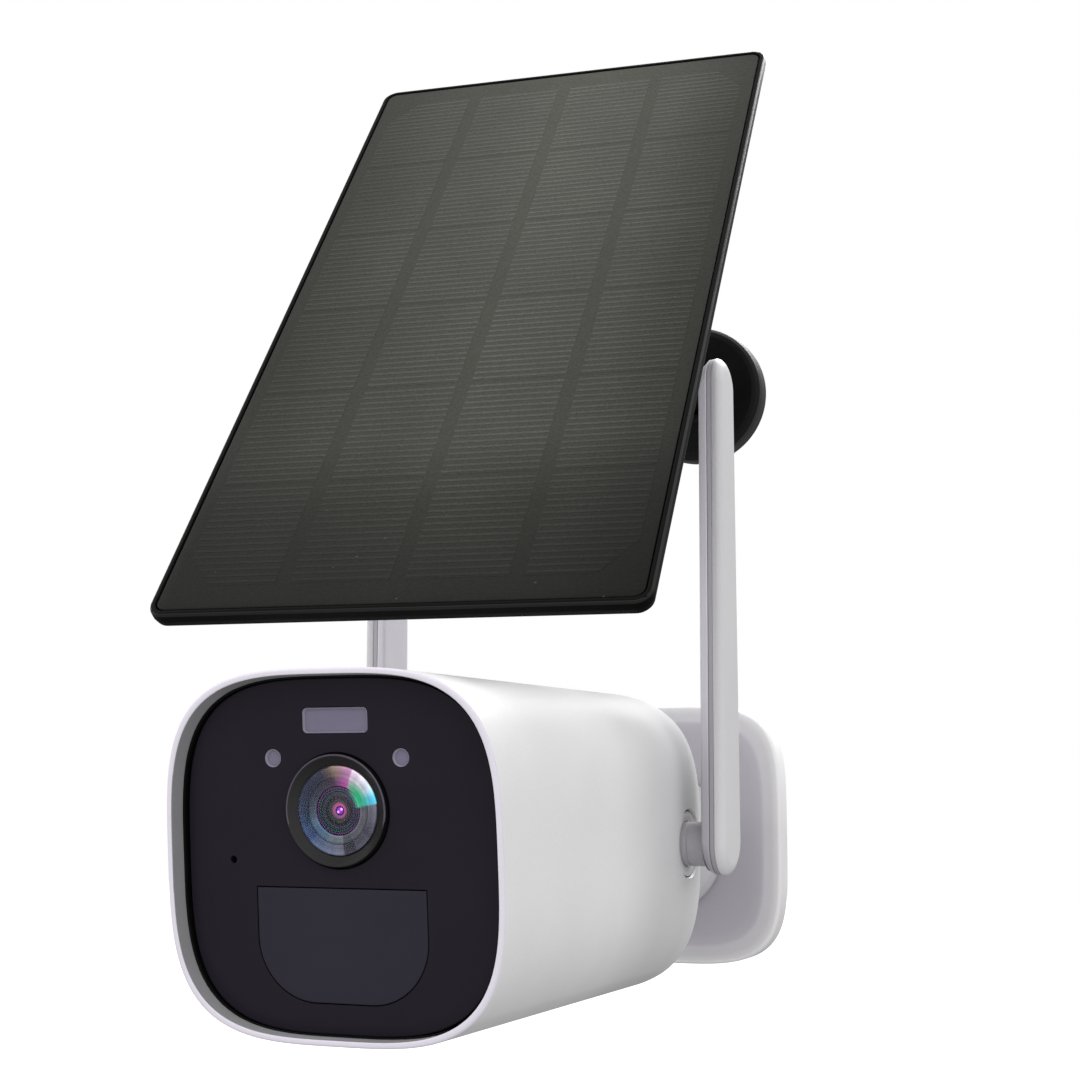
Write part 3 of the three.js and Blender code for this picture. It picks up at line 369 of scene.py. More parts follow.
# Turned shapes have Y as their axis; these stand it on Z, lay it outward along X, or turn it end for end
ON_Z = Matrix.Rotation(QUARTER, 4, "X")
ON_X = Matrix.Rotation(-QUARTER, 4, "Z")
BACKWARD = Matrix.Rotation(pi, 4, "Z")
# (u, v, height) to (x, z) facing the front: u along X, v up, height toward -Y
TO_FRONT = Matrix(((1, 0, 0, 0), (0, 0, -1, 0), (0, 1, 0, 0), (0, 0, 0, 1)))
# (u, v, height) to a layer of the right antenna: u along -Y, v up, height outward in X
TO_SIDE = Matrix(((0, 0, 1, 0), (-1, 0, 0, ANT_Y), (0, 1, 0, ANT_Z), (0, 0, 0, 1)))


def arc(x, y, radius, start, turned, steps):
    """Points of a circular arc, both ends included"""
    angles = [start + turned * k / steps for k in range(steps + 1)]
    return [(x + radius * cos(a), y + radius * sin(a)) for a in angles]


def on_sphere(radius, centre, start, end, steps):
    """Profile (radius, y) that follows a sphere about (0, centre) from height start to height end"""
    heights = [start + (end - start) * i / steps for i in range(steps + 1)]
    return [(sqrt(max(0.0, radius ** 2 - (y - centre) ** 2)), y) for y in heights]


def whole_sphere(radius, centre, steps):
    angles = [pi * i / steps for i in range(steps + 1)]
    return [(radius * sin(a), centre + radius * cos(a)) for a in angles]


def rounded(points, closed=False, steps=4):
    """Rounds the corners of a profile; a point may carry its own fillet radius as a third number"""
    flat = []
    count = len(points)
    for i, point in enumerate(points):
        here = Vector(point[:2])
        radius = point[2] if len(point) > 2 else 0
        if radius <= 0 or (not closed and i in (0, count - 1)):
            flat.append(tuple(here))
            continue
        back = Vector(points[i - 1][:2]) - here
        ahead = Vector(points[(i + 1) % count][:2]) - here
        half = back.angle(ahead) / 2
        cut = min(radius / max(tan(half), 1e-3), back.length * 0.49, ahead.length * 0.49)
        start, end = here + back.normalized() * cut, here + ahead.normalized() * cut
        for k in range(steps + 1):
            u = k / steps
            flat.append(tuple(start * (1 - u) ** 2 + here * 2 * u * (1 - u) + end * u ** 2))
    return flat


def skin(rings, closed):
    """Faces between neighbouring rings of vertex numbers; a ring of one is a pole"""
    faces = []
    for a, b in list(zip(rings, rings[1:])) + ([(rings[-1], rings[0])] if closed else []):
        count = max(len(a), len(b))
        for k in range(count if count > 1 else 0):
            j = (k + 1) % count
            if len(a) == 1:
                faces.append((a[0], b[k], b[j]))
            elif len(b) == 1:
                faces.append((a[k], b[0], a[j]))
            else:
                faces.append((a[k], b[k], b[j], a[j]))
    return faces


def squircle(angle, n):
    return (abs(cos(angle)) ** n + abs(sin(angle)) ** n) ** (-1 / n)


def turn(profile, segments=96, n=None, wide=1.0, closed=False, wave=None):
    """Vertices and faces of a profile (radius, y) turned about Y; wave(angle, radius) may change the radius"""
    verts, rings = [], []
    for r, y in profile:
        ring = []
        for k in range(segments if r > 1e-6 else 1):
            a = 2 * pi * k / segments
            reach = (wave(a, r) if wave else r) * (squircle(a, n) if n else 1.0)
            ring.append(len(verts))
            verts.append((reach * cos(a) * wide, y, reach * sin(a)) if r > 1e-6 else (0, y, 0))
        rings.append(ring)
    return verts, skin(rings, closed)


def stack(outline, profile, closed=False):
    """Rings of outline(inset), a list of (u, v), at the heights of a profile (inset, height); ends are capped"""
    verts, rings = [], []
    for inset, height in profile:
        points = outline(inset)
        rings.append(list(range(len(verts), len(verts) + len(points))))
        verts += [(u, v, height) for u, v in points]
    caps = [] if closed else [tuple(reversed(rings[0])), tuple(rings[-1])]
    return verts, skin(rings, closed) + caps


def box_outline(w, h, r, x=0.0, y=0.0, steps=10):
    """Rounded rectangle that shrinks by an inset"""
    def ring(inset):
        points = []
        rr = max(r - inset, 0.05)
        for qx, qy, quarter in ((1, 1, 0), (-1, 1, 1), (-1, -1, 2), (1, -1, 3)):
            cx, cy = x + qx * (w / 2 - inset - rr), y + qy * (h / 2 - inset - rr)
            points += arc(cx, cy, rr, quarter * QUARTER, QUARTER, steps)
        return points
    return ring


def bar_outline(low=7.7, high=6.3, top=122.3, steps=28):
    """Antenna bar: full round at both ends, tapering upward from the pivot"""
    reach = top - high - ANT_Z

    def ring(inset):
        a, b = low - inset, high - inset
        slope = asin((a - b) / reach)
        return (arc(0, 0, a, pi - slope, pi + 2 * slope, steps)
                + arc(0, reach, b, slope, pi - 2 * slope, steps))
    return ring


def sensor_outline(half, top, bottom, corner, steps=18):
    """Square at the top, round at the two lower corners"""
    def ring(inset):
        w, t, b, r = half - inset, top - inset, bottom + inset, corner - inset
        return ([(w, t), (-w, t)] + arc(-w + r, b + r, r, pi, QUARTER, steps)
                + arc(w - r, b + r, r, pi * 1.5, QUARTER, steps))
    return ring


def squircle_outline(half_w, half_h, n, steps, x=0.0, y=0.0):
    """Squircle about (x, y); with n = 2 it is an ellipse or a circle"""
    def ring(inset):
        angles = [2 * pi * k / steps for k in range(steps)]
        return [((half_w - inset) * squircle(a, n) * cos(a) + x,
                 (half_h - inset) * squircle(a, n) * sin(a) + y) for a in angles]
    return ring


def placed(shape, matrix=None, move=None):
    """A shape put through a matrix, then through a function of its points"""
    verts, faces = shape
    out = []
    for v in verts:
        p = Vector(v)
        if matrix is not None:
            p = matrix @ p
        if move is not None:
            p = Vector(move(p))
        out.append(tuple(p))
    return out, faces


def merged(*shapes):
    verts, faces = [], []
    for more_verts, more_faces in shapes:
        base = len(verts)
        verts += more_verts
        faces += [tuple(i + base for i in face) for face in more_faces]
    return verts, faces


def mirror_x(shape):
    verts, faces = shape
    return [(-x, y, z) for x, y, z in verts], [tuple(reversed(f)) for f in faces]


def block(x0, x1, y0, y1, z0, z1):
    verts = [(x, y, z) for x in (x0, x1) for y in (y0, y1) for z in (z0, z1)]
    faces = [(0, 1, 3, 2), (4, 6, 7, 5), (0, 4, 5, 1), (2, 3, 7, 6), (0, 2, 6, 4), (1, 5, 7, 3)]
    return verts, faces


def knurl(count, depth, start):
    """Wave that cuts rounded grooves into everything beyond a radius"""
    return lambda a, r: r - depth * max(0.0, cos(a * count)) ** 3 if r > start else r


def link_mesh(name, shape):
    verts, faces = shape
    mesh = bpy.data.meshes.new(name)
    mesh.from_pydata([tuple(c * MM for c in v) for v in verts], [], faces)
    mesh.update()
    obj = bpy.data.objects.new(name, mesh)
    bpy.context.collection.objects.link(obj)
    return obj


def shade(mesh, sharp):
    for poly in mesh.polygons:
        poly.use_smooth = True
    mesh.set_sharp_from_angle(angle=radians(sharp))


def finish_mesh(obj, sharp=35):
    bm = bmesh.new()
    bm.from_mesh(obj.data)
    bmesh.ops.remove_doubles(bm, verts=bm.verts, dist=2e-7)
    bmesh.ops.recalc_face_normals(bm, faces=bm.faces)
    bm.to_mesh(obj.data)
    bm.free()
    shade(obj.data, sharp)


def mesh_object(name, shape, mat, sharp=35, world=None):
    obj = link_mesh(name, shape)
    if world is not None:
        obj.matrix_world = world
    obj.data.materials.append(M[mat])
    finish_mesh(obj, sharp)
    return obj


def carve(obj, *shapes, sharp=35):
    """Cuts closed shapes out of an object's mesh"""
    cutter = link_mesh("cutter", merged(*shapes))
    cutter.matrix_world = obj.matrix_world.copy()
    finish_mesh(cutter)
    cutter.data.materials.append(obj.data.materials[0])
    mod = obj.modifiers.new("carve", "BOOLEAN")
    mod.operation = "DIFFERENCE"
    mod.solver = "EXACT"
    mod.object = cutter
    bpy.context.view_layer.update()
    result = bpy.data.meshes.new_from_object(obj.evaluated_get(bpy.context.evaluated_depsgraph_get()))
    obj.modifiers.remove(mod)
    obj.data = result
    bpy.data.objects.remove(cutter)
    shade(obj.data, sharp)


def paint_by(obj, mats, choose):
    """Gives each face one of several materials by its centre and normal, in millimetres"""
    for mat in mats:
        if obj.data.materials.find(M[mat].name) < 0:
            obj.data.materials.append(M[mat])
    index = {mat: obj.data.materials.find(M[mat].name) for mat in mats}
    for poly in obj.data.polygons:
        choice = choose(poly.center / MM, poly.normal)
        if choice:
            poly.material_index = index[choice]


def piece(obj, body, slot, *stands_for):
    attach(obj, body)
    if stands_for:
        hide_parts(*stands_for)


def make(name, shape, mat, body, slot, *stands_for, sharp=35):
    """A piece that needs no cuts or second material"""
    piece(mesh_object(name, shape, mat, sharp), body, slot, *stands_for)


def lean_body(p):
    share = min(max((REAR - REAR_R - p.y) / (REAR - REAR_R - FRONT), 0), 1)
    return (p.x, p.y - LEAN * share * p.z, p.z)


def lean_front(p):
    return (p.x, p.y + FRONT - LEAN * p.z, p.z)


def front_shape(shape):
    """A shape drawn as (u, v, height) set into the leaned front"""
    return placed(shape, TO_FRONT, lean_front)


# ---------- camera body
H = BODY_H
edge = REAR - REAR_R
outer = [(0, REAR)] + arc(H - REAR_R, edge, REAR_R, QUARTER, -QUARTER, 14)
outer += [(H, -110), (H, -130), (H, -150), (H, -170), (H, -190), (H, -203)]
lip_profile = rounded([
    (H, -206), (H, FRONT, 0.75), (H - LIP, FRONT, 0.35), (H - LIP - 0.2, FRONT + 10, 0.2),
    (H - 3.8, FRONT + 10.2, 0.2), (H - 3.8, FRONT + 12.6, 0.2), (H - WALL, FRONT + 12.8),
], steps=6)
inner = [(H - WALL, -170), (H - WALL, -130), (H - WALL, edge)]
inner += arc(H - REAR_R, edge, REAR_R - WALL, 0, QUARTER, 8)[1:] + [(0, REAR - WALL)]
body = placed(turn(outer + lip_profile + inner, 176, BODY_N, BODY_W / BODY_H), move=lean_body)
shell = mesh_object("camera_shell", body, "shell", sharp=28)

PORT_Y, PORT_L, PORT_W = -112.0, 26.0, 13.0
BUTTON_Y, GRILLE_Y, GRILLE_STEP = -160.0, -180.0, 2.6

# Round recess for each hub seat with an eased mouth, and the bore behind it
hub_sink = rounded([(0, 34), (4.6, 34), (4.6, 36.6), (8.35, 36.6, 0.15), (8.35, 38.0, 0.2), (9.1, 38.9), (9.1, 42),
                    (0, 42)])
hub_sink = placed(turn(hub_sink, 72), at(0, ANT_Y, ANT_Z) @ ON_X)
port_cut = stack(box_outline(PORT_W, PORT_L, 1.2, 0, PORT_Y, 6), [(-0.8, -1.6), (-0.8, -0.1), (0, 0.7), (0, 8)])
button_cut = turn([(0, -2), (5.2, -2), (5.2, -0.2), (4.35, 0.55), (4.35, 6), (0, 6)], 64)
slots = [stack(box_outline(14, 1.2, 0.58, 0, GRILLE_Y + i * GRILLE_STEP, 6),
               [(-0.35, -2), (-0.35, -0.1), (0, 0.3), (0, 6)]) for i in range(-2, 3)]
rear_cut = turn([(0, -70), (3.4, -70), (3.4, -58), (0, -58)], 40)
carve(shell, hub_sink, mirror_x(hub_sink), placed(port_cut, at(0, 0, -H)),
      placed(button_cut, at(0, BUTTON_Y, -H) @ ON_Z), placed(rear_cut, at(0, 0, MOUNT_Z)),
      *[placed(s, at(0, 0, -H)) for s in slots], sharp=28)
# Painted shade: the recess wall inside the mouth gets the dark grey hood colour, and the front-facing lip faces a
# darker lavender copy of the shell white
paint_by(shell, ("shell", "lip", "hood"), lambda c, n: (
    "hood" if c.y < -198 and (n.x * c.x + n.z * c.z) < -0.5 and n.y > -0.6 else
    "lip" if c.y + LEAN * c.z < FRONT + 0.9 and n.y < -0.25 else None))
piece(shell, "camera", "white_shell", "body_shell")

# Rubber flap under the body: rounded plate with a finger notch, an inner lip and four moulded ribs
flap = mesh_object("port_flap_rubber", stack(box_outline(PORT_W - 0.6, PORT_L - 0.6, 1.0, 0, PORT_Y, 8), rounded(
    [(0, -36.2), (0, -37.85, 0.35), (1.0, -37.85)])), "rubber", sharp=40)
notch = stack(box_outline(5.4, 1.8, 0.8, 0, PORT_Y - PORT_L / 2 + 1.4, 6), [(0.25, -37.3), (-0.1, -38.2)])
carve(flap, notch, sharp=40)
piece(flap, "port_flap", "port_rubber", "port_flap")
make("port_flap_lip", stack(box_outline(PORT_W - 2.4, PORT_L - 5, 1.2, 0, PORT_Y - 0.6, 8), rounded(
    [(1.0, -36.25), (0, -36.25), (0, -34.75, 0.3), (1.0, -34.75)])), "rubber", "port_flap", "port_rubber", sharp=40)
make("port_flap_ribs", merged(*[
    stack(box_outline(7.0, 0.7, 0.34, 0, PORT_Y - 3 + 2.4 * i, 5), [(0.0, -37.8), (0.12, -38.02)]) for i in range(4)
]), "rubber", "port_flap", "port_rubber", sharp=40)

# Power button: dished cap with a raised ring
cap = turn(rounded([(0, 0.35), (2.3, 0.15), (2.9, 0.0, 0.1), (3.4, -0.12, 0.1), (4.0, 0.1, 0.3), (4.0, 3.3, 0.2),
                    (1.5, 3.35), (1.5, 7.3, 0.2), (0, 7.3)]), 64)
make("power_button_cap", placed(cap, at(0, BUTTON_Y, -38.2) @ ON_Z), "grip", "power_button", "pale_plastic",
     "power_button", sharp=40)

# ---------- front panel
def eased_hole(radius, x, z, ease=0.18):
    return stack(squircle_outline(radius, radius, 2, 72, x, z), [
        (0, -9), (0, PANEL_IN - ease), (-ease * 1.4, PANEL_IN + ease * 0.4), (-ease * 1.4, PANEL_IN + 1)])


holes = [
    eased_hole(11.8, 0, LENS_Z), eased_hole(1.95, LED_X, LED_Z, 0.1), eased_hole(1.95, -LED_X, LED_Z, 0.1),
    eased_hole(0.75, -25, -1.1, 0.12),
    stack(box_outline(15.1, 5.3, 1.1, 0, SPOT_Z), [(0, -9), (0, -4.48), (-0.25, -4.2), (-0.25, -3.3)]),
    stack(sensor_outline(19.65, -6.45, -30.05, 13.25), [(0, -9), (0, -4.4), (-0.12, -4.25), (-0.12, -3.3)]),
]
plate_shape = stack(squircle_outline(35.6, 36.15, BODY_N, 160),
                    rounded([(0, -6.5), (0, PANEL_IN, 0.35), (2.5, PANEL_IN)], steps=5))
face = mesh_object("front_plate", front_shape(plate_shape), "panel_black", sharp=30)
carve(face, *[front_shape(h) for h in holes], sharp=30)
piece(face, "camera", "black_panel", "front_panel")

seal = stack(squircle_outline(37.02, 36.52, BODY_N, 160), rounded(
    [(0, -4.1, 0.08), (0.28, -4.1, 0.08), (0.3, -6.9), (0.6, -7.1), (0.6, -7.9), (0, -7.9)], closed=True), closed=True)
make("panel_seal", front_shape(seal), "seal", "camera", "seal_rubber", "front_seal")


def window(name, shape, stands_for):
    """Frosted window with a brighter wall round it"""
    obj = mesh_object(name, shape, "lamp", sharp=50)
    paint_by(obj, ("lamp", "lamp_edge"), lambda c, n: "lamp_edge" if abs(n.y) < 0.8 else None)
    piece(obj, "camera", "lamp_window", stands_for)


window("spot_lens", front_shape(stack(box_outline(15.0, 5.2, 1.05, 0, SPOT_Z), rounded(
    [(0, INNER_IN), (0, -4.34, 0.08), (0.16, -4.34, 0.08), (0.28, -4.95, 0.06), (2.3, -4.95)]))), "spot_window")
led = turn(rounded([(0, 4.9), (1.2, 4.93), (1.6, 4.95, 0.06), (1.72, 4.36, 0.06), (1.88, 4.36, 0.06),
                    (1.88, -INNER_IN, 0.1), (0, -INNER_IN)]), 56)
for side, x in (("left", -LED_X), ("right", LED_X)):
    window("ir_lens_" + side, placed(led, at(x, 0, LED_Z), lean_front), "ir_window_" + side)

make("sensor_lens", front_shape(stack(sensor_outline(19.45, -6.65, -29.85, 13.05), rounded(
    [(0, INNER_IN), (0, -4.35, 0.2), (1.2, PANEL_IN), (4.0, -4.24), (8.0, -4.2)]))),
    "sensor", "camera", "sensor_film", "sensor_window", sharp=40)


# ---------- lens
def lens_piece(name, profile, mat, closed=False, sharp=35):
    """Turned about the lens axis; the object sits on that axis so that its pattern is centred there"""
    shape = placed(turn(profile, 128, closed=closed), move=lambda p: (p.x, p.y - LEAN * p.z, p.z))
    world = Matrix.Translation(Vector((0, FRONT - LEAN * LENS_Z, LENS_Z)) * MM)
    return mesh_object(name, shape, mat, sharp, world)


ring = lens_piece("lens_bezel", rounded([
    (9.2, 4.35, 0.1), (10.3, 3.75, 1.0), (11.1, 3.2, 0.1), (11.32, 3.1, 0.06), (11.5, 3.3, 0.1), (11.5, 7.9, 0.1),
    (9.2, 7.9, 0.1),
], closed=True), "bezel", closed=True)
# The rounded outer edge takes the painted highlight; the outermost wall is seal black
paint_by(ring, ("bezel", "bezel_edge", "seal"), lambda c, n: (
    "bezel_edge" if hypot(c.x, c.z) > 11.12 and c.y < 3.45 else
    "seal" if hypot(c.x, c.z) > 11.4 else None))
piece(ring, "camera", "lens_bezel", "lens_ring")

GLASS_T = 0.1
cup = [(0, 5.45), (0.5, 5.42), (1.0, 5.36), (1.5, 5.28), (1.62, 5.1), (2.3, 5.06), (2.4, 5.2), (3.0, 5.14), (3.1, 4.98),
       (3.8, 4.92), (3.9, 4.8), (4.7, 4.76), (4.85, 4.62), (5.6, 4.58), (6.7, 4.52), (6.85, 4.42), (7.7, 4.4),
       (8.4, 4.36), (8.6, 4.28), (LENS_R, 4.26, 0.05), (LENS_R, 5.2), (6, 5.6), (0, 5.7)]
piece(lens_piece("lens_coated_cup", rounded(cup), "coated", sharp=50), "camera", "lens_crystal", "lens_glass")
cover_profile = [(LENS_R * i / 12, 4.12 - 0.9 * (1 - (i / 12) ** 2)) for i in range(13)]
cover_profile += [(r, y + GLASS_T) for r, y in reversed(cover_profile)]
piece(lens_piece("lens_cover_glass", cover_profile, "glass", sharp=50), "camera", "lens_crystal", "lens_inner")

# ---------- antennas
TRIM_IN, TRIM_OUT, ANT_MID = 46.14, 47.22, 46.9  # x of the trim layer's faces and of the bar's middle
bar = bar_outline()
layer_1 = placed(stack(bar, rounded([(2.2, 43.9), (0.0, 43.9, 0.7), (0, 46.0, 0.22), (1.5, 46.0)])), TO_SIDE)
layer_2 = placed(stack(bar_outline(7.55, 6.15, 122.15), rounded(
    [(1.5, TRIM_IN), (0, TRIM_IN, 0.1), (0, TRIM_OUT, 0.1), (1.5, TRIM_OUT)])), TO_SIDE)
dome = [(1.5, 47.3), (0.12, 47.3), (0.02, 47.45), (0, 47.7)] + arc(1.9, 48.0, 1.9, pi, -QUARTER, 8)[1:]
layer_3 = placed(stack(bar, dome), TO_SIDE)


def domed(shape, drop):
    """Rounds a bar's two ends through its thickness"""
    def move(p):
        sag = 1 - sqrt(max(0.0, 1 - ((p.x - ANT_MID) / 3.05) ** 2))
        return (p.x, p.y, p.z - drop * sag if p.z > 60 else p.z + drop * 0.55 * sag if p.z < -0.5 else p.z)
    return placed(shape, move=move)


hub = rounded([(0, 33), (4.1, 33, 0.3), (4.1, 37.1), (5.5, 37.1, 0.2), (5.5, 38.7), (5.25, 38.9), (5.25, 39.3),
               (5.5, 39.5), (5.5, 42.8), (5.9, 43.5), (6.6, 43.92), (0, 43.92)])
hub = placed(turn(hub, 72), at(0, ANT_Y, ANT_Z) @ ON_X)
seat = rounded([(5.6, 36.9), (8.0, 36.9), (8.0, 38.1, 0.3), (7.0, 38.1, 0.2), (5.6, 37.8, 0.2)], closed=True)
seat = placed(turn(seat, 72, closed=True), at(0, ANT_Y, ANT_Z) @ ON_X)
for side, flip in (("left", mirror_x), ("right", lambda shape: shape)):
    bar_body = "antenna_" + side
    for part, shape, mat, slot, node, sharp in (
        ("_back", domed(layer_1, 4.5), "antenna_in", "pale_plastic", "antenna_inner_", 40),
        ("_hub", hub, "pale", "pale_plastic", None, 30),
        ("_rib", domed(layer_2, 4.5), "trim", "pale_plastic", "antenna_trim_", 40),
        ("_shell", domed(layer_3, 2.8), "antenna", "white_shell", "antenna_outer_", 40),
    ):
        make(bar_body + part, flip(shape), mat, bar_body, slot, *([node + side] if node else []), sharp=sharp)
    make("hub_ring_" + side, flip(seat), "shell", "camera", "pale_plastic", "hub_seat_" + side, sharp=30)

# ---------- camera mount
P = PLATE_R
cover = rounded([
    (0, -8.65), (P - 4.8, -8.65, 1.2), (P - 0.5, -7.75, 0.6), (P, -6.9, 0.5), (P, -0.3, 0.3), (P - 2.2, -0.3, 0.2),
    (P - 2.2, -5.4, 0.5), (P - 3.4, -6.5, 0.5), (0, -6.5),
], steps=6)
make("wall_plate_cover", placed(turn(cover, 176, PLATE_N), at(0, 0, PLATE_Z)), "plate",
     "wall", "pale_plastic", "wall_cover", sharp=28)

SEAT = BALL_R + BALL_GAP
at_mount = at(0, 0, MOUNT_Z)
bell = rounded([(0, -8.95), (21.2, -8.95), (21.6, -9.6, 0.4), (21.6, -11.6, 1.5), (20.6, -14.2, 3), (18.4, -17.6, 4),
                (16.2, -20.8, 3), (15.3, -23.4, 1), (15.2, -24.5, 0.3)], steps=5)
bell += on_sphere(SEAT, BALL_Y, -24.5, BALL_Y + SEAT, 8)
make("ball_bell", placed(turn(bell), at_mount), "bell", "wall", "pale_plastic", "ball_socket", sharp=30)

lock = on_sphere(SEAT, BALL_Y, -31.4, -24.8, 5)
lock += rounded([(15.2, -24.8, 0.2), (15.8, -25.5, 0.3), (15.8, -29.7, 0.5), (14.6, -31.4, 0.5), lock[0]], steps=3)[:-1]
make("lock_ring_grip", placed(turn(lock, 196, closed=True, wave=knurl(28, 0.65, 15.0)), at_mount), "grip",
     "lock_ring", "grey_ring", "lock_ring", sharp=40)
make("mount_ball_steel", placed(turn(whole_sphere(BALL_R, BALL_Y, 40), 72), at_mount), "ball",
     "camera_ball", "ball_steel", "mount_ball", sharp=40)

STEM_R = 5.2
stem_top = BALL_Y - sqrt(SEAT ** 2 - STEM_R ** 2)
stem = on_sphere(SEAT, BALL_Y, BALL_Y - SEAT, stem_top, 4)
stem += rounded([(STEM_R, stem_top), (STEM_R, -48, 3), (7.2, -55.6, 3), (13.2, -57.8, 0.8), (14, -58.6, 0.5),
                 (14, -61.6, 0.3), (3, -61.6), (3, -72, 0.3), (0, -72)], steps=5)
make("mount_stem_flange", placed(turn(stem, 88), at_mount), "pale", "camera", "pale_plastic", "mount_stem", sharp=30)

# ---------- solar panel
across = Vector((cos(SUN_YAW), sin(SUN_YAW), 0))
ahead = Vector((sin(SUN_YAW), -cos(SUN_YAW), 0))
upright = Vector((0, 0, 1))
outward = ahead * cos(SUN_TILT) + upright * sin(SUN_TILT)
upslope = outward.cross(across)


def basis(x, y, z, centre):
    m = Matrix((x, y, z)).transposed().to_4x4()
    m.translation = centre
    return m


SUN = basis(across, upslope, outward, SUN_CENTRE)
SUN_M = basis(across, upslope, outward, SUN_CENTRE * MM)


def sun_object(name, shape, mat, sharp=35):
    """Drawn in the panel's own frame: X across, Y up the slope, Z out of the glass"""
    return mesh_object(name, shape, mat, sharp, world=SUN_M)


def sun_piece(name, shape, mat, slot, *stands_for, sharp=35):
    piece(sun_object(name, shape, mat, sharp), "panel", slot, *stands_for)


tray_profile = rounded([
    (5, -SUN_T), (2.9, -SUN_T, 0.6), (1.6, -SUN_T + 0.4, 0.9), (0.5, -SUN_T + 1.5, 0.9), (0, -SUN_T + 3.1, 1.2),
    (0, -0.7, 0.4), (0.3, -0.12, 0.3), (0.8, 0.0, 0.3), (RIM - 0.1, 0.0, 0.15), (RIM, -0.35), (RIM, -2.8), (5, -2.8),
], steps=4)
tray = sun_object("solar_tray", stack(box_outline(SUN_W, SUN_L, 4.0, steps=14), tray_profile), "tray", sharp=38)
bays = []  # two columns of four hollows in the back; the middle ones leave room for the junction box
for sx in (-1, 1):
    for i in range(4):
        w, x = (22, sx * 38.5) if i in (1, 2) else (48, sx * 25.5)
        bays.append(stack(box_outline(w, 46, 3.0, x, (i - 1.5) * 50.4, 8), [
            (-0.4, -SUN_T - 1), (-0.4, -SUN_T - 0.05), (0.1, -SUN_T + 0.4), (0.3, -3.9)]))
carve(tray, *bays, sharp=38)
# The front rounding along the panel's edge gets the painted highlight
paint_by(tray, ("tray", "tray_edge"), lambda c, n: (
    "tray_edge" if c.z > -0.75 and 0.25 < n.z < 0.97 and (abs(c.x) > 54.6 or abs(c.y) > 104) else None))
piece(tray, "panel", "solar_frame", "panel_tray")

GLASS_W, GLASS_L = SUN_W - RIM * 2 - 0.6, SUN_L - RIM * 2 - 0.6
sun_piece("solar_laminate", stack(box_outline(GLASS_W, GLASS_L, 2.5, steps=14), rounded(
    [(2.4, -2.5), (0, -2.5, 0.3), (0, -0.22, 0.2), (0.6, -0.16), (2.4, -0.16)])),
    "film", "solar_face", "panel_glass", sharp=40)

# Cells: four columns by six rows, each with its printed fingers, clipped by the field's cut corners
FIELD_W, FIELD_L = 101.6, 193.4
BAND, ROW_GAP, FINGERS = 3.3, 1.0, 16
CUT_X, CUT_Y = 7.5, 9.5
CELL_TOP, FINGER_TOP, FINGER_SHARE = -0.135, -0.105, 0.17
cell_w, cell_l = (FIELD_W - 3 * BAND) / 4, (FIELD_L - 5 * ROW_GAP) / 6
pitch = cell_l / FINGERS


def reach_at(y):
    """Half width of the field at a height, with its corners cut off"""
    over = abs(y) - (FIELD_L / 2 - CUT_Y)
    return FIELD_W / 2 - (CUT_X * over / CUT_Y if over > 0 else 0)


def cell_corners(x0, x1, y0, y1):
    corners = []
    for x, y in ((x0, y0), (x1, y0), (x1, y1), (x0, y1)):
        limit = reach_at(y)
        if abs(x) > limit:
            pair = ((x, copysign(FIELD_L / 2 - CUT_Y, y)), (copysign(limit, x), y))
            corners += pair if (x > 0) == (y > 0) else reversed(pair)
        else:
            corners.append((x, y))
    return corners


def prism(corners, low, top):
    count = len(corners)
    verts = [(x, y, low) for x, y in corners] + [(x, y, top) for x, y in corners]
    sides = [(k, (k + 1) % count, count + (k + 1) % count, count + k) for k in range(count)]
    return verts, sides + [tuple(range(count, 2 * count)), tuple(reversed(range(count)))]


cells, fingers = [], []
for col in range(4):
    x0 = -FIELD_W / 2 + col * (cell_w + BAND)
    for row in range(6):
        y0 = -FIELD_L / 2 + row * (cell_l + ROW_GAP)
        cells.append(prism(cell_corners(x0, x0 + cell_w, y0, y0 + cell_l), -0.5, CELL_TOP))
        for k in range(FINGERS):
            y = y0 + (k + 0.5) * pitch
            limit = reach_at(y) - 0.1
            a, b = max(x0 + 0.15, -limit), min(x0 + cell_w - 0.15, limit)
            fingers.append(block(a, b, y - pitch * FINGER_SHARE, y + pitch * FINGER_SHARE, -0.3, FINGER_TOP))
sun_piece("solar_cells", merged(*cells), "cell_face", "solar_face", sharp=30)
sun_piece("solar_fingers", merged(*fingers), "finger", "solar_face", sharp=30)

# ---------- junction box and panel joint
back = -SUN_T - 0.3
box_profile = rounded([
    (3, back), (0, back, 0.4), (0, back - 2.6, 0.1), (0.35, back - 2.7), (0.35, back - 3.1), (0.05, back - 3.2, 0.1),
    (0.1, back - 6.2, 0.8), (1.5, back - 7, 0.8), (5, back - 7),
], steps=4)
SCREWS = [(x, y) for x in (-16.5, 16.5) for y in (-23.5, 23.5)]
jbox = sun_object("junction_housing", stack(box_outline(46, 60, 8, steps=12), box_profile), "tray", sharp=35)
bore = turn([(0, -14), (6.6, -14), (6.6, 2), (0, 2)], 56)
sink = turn([(0, -3), (3.4, -3), (3.0, 1.6), (0, 1.6)], 40)
carve(jbox, placed(bore, at(0, 0, back - 5) @ ON_Z), *[placed(sink, at(x, y, back - 7) @ ON_Z) for x, y in SCREWS])
piece(jbox, "panel", "solar_frame", "junction_box")

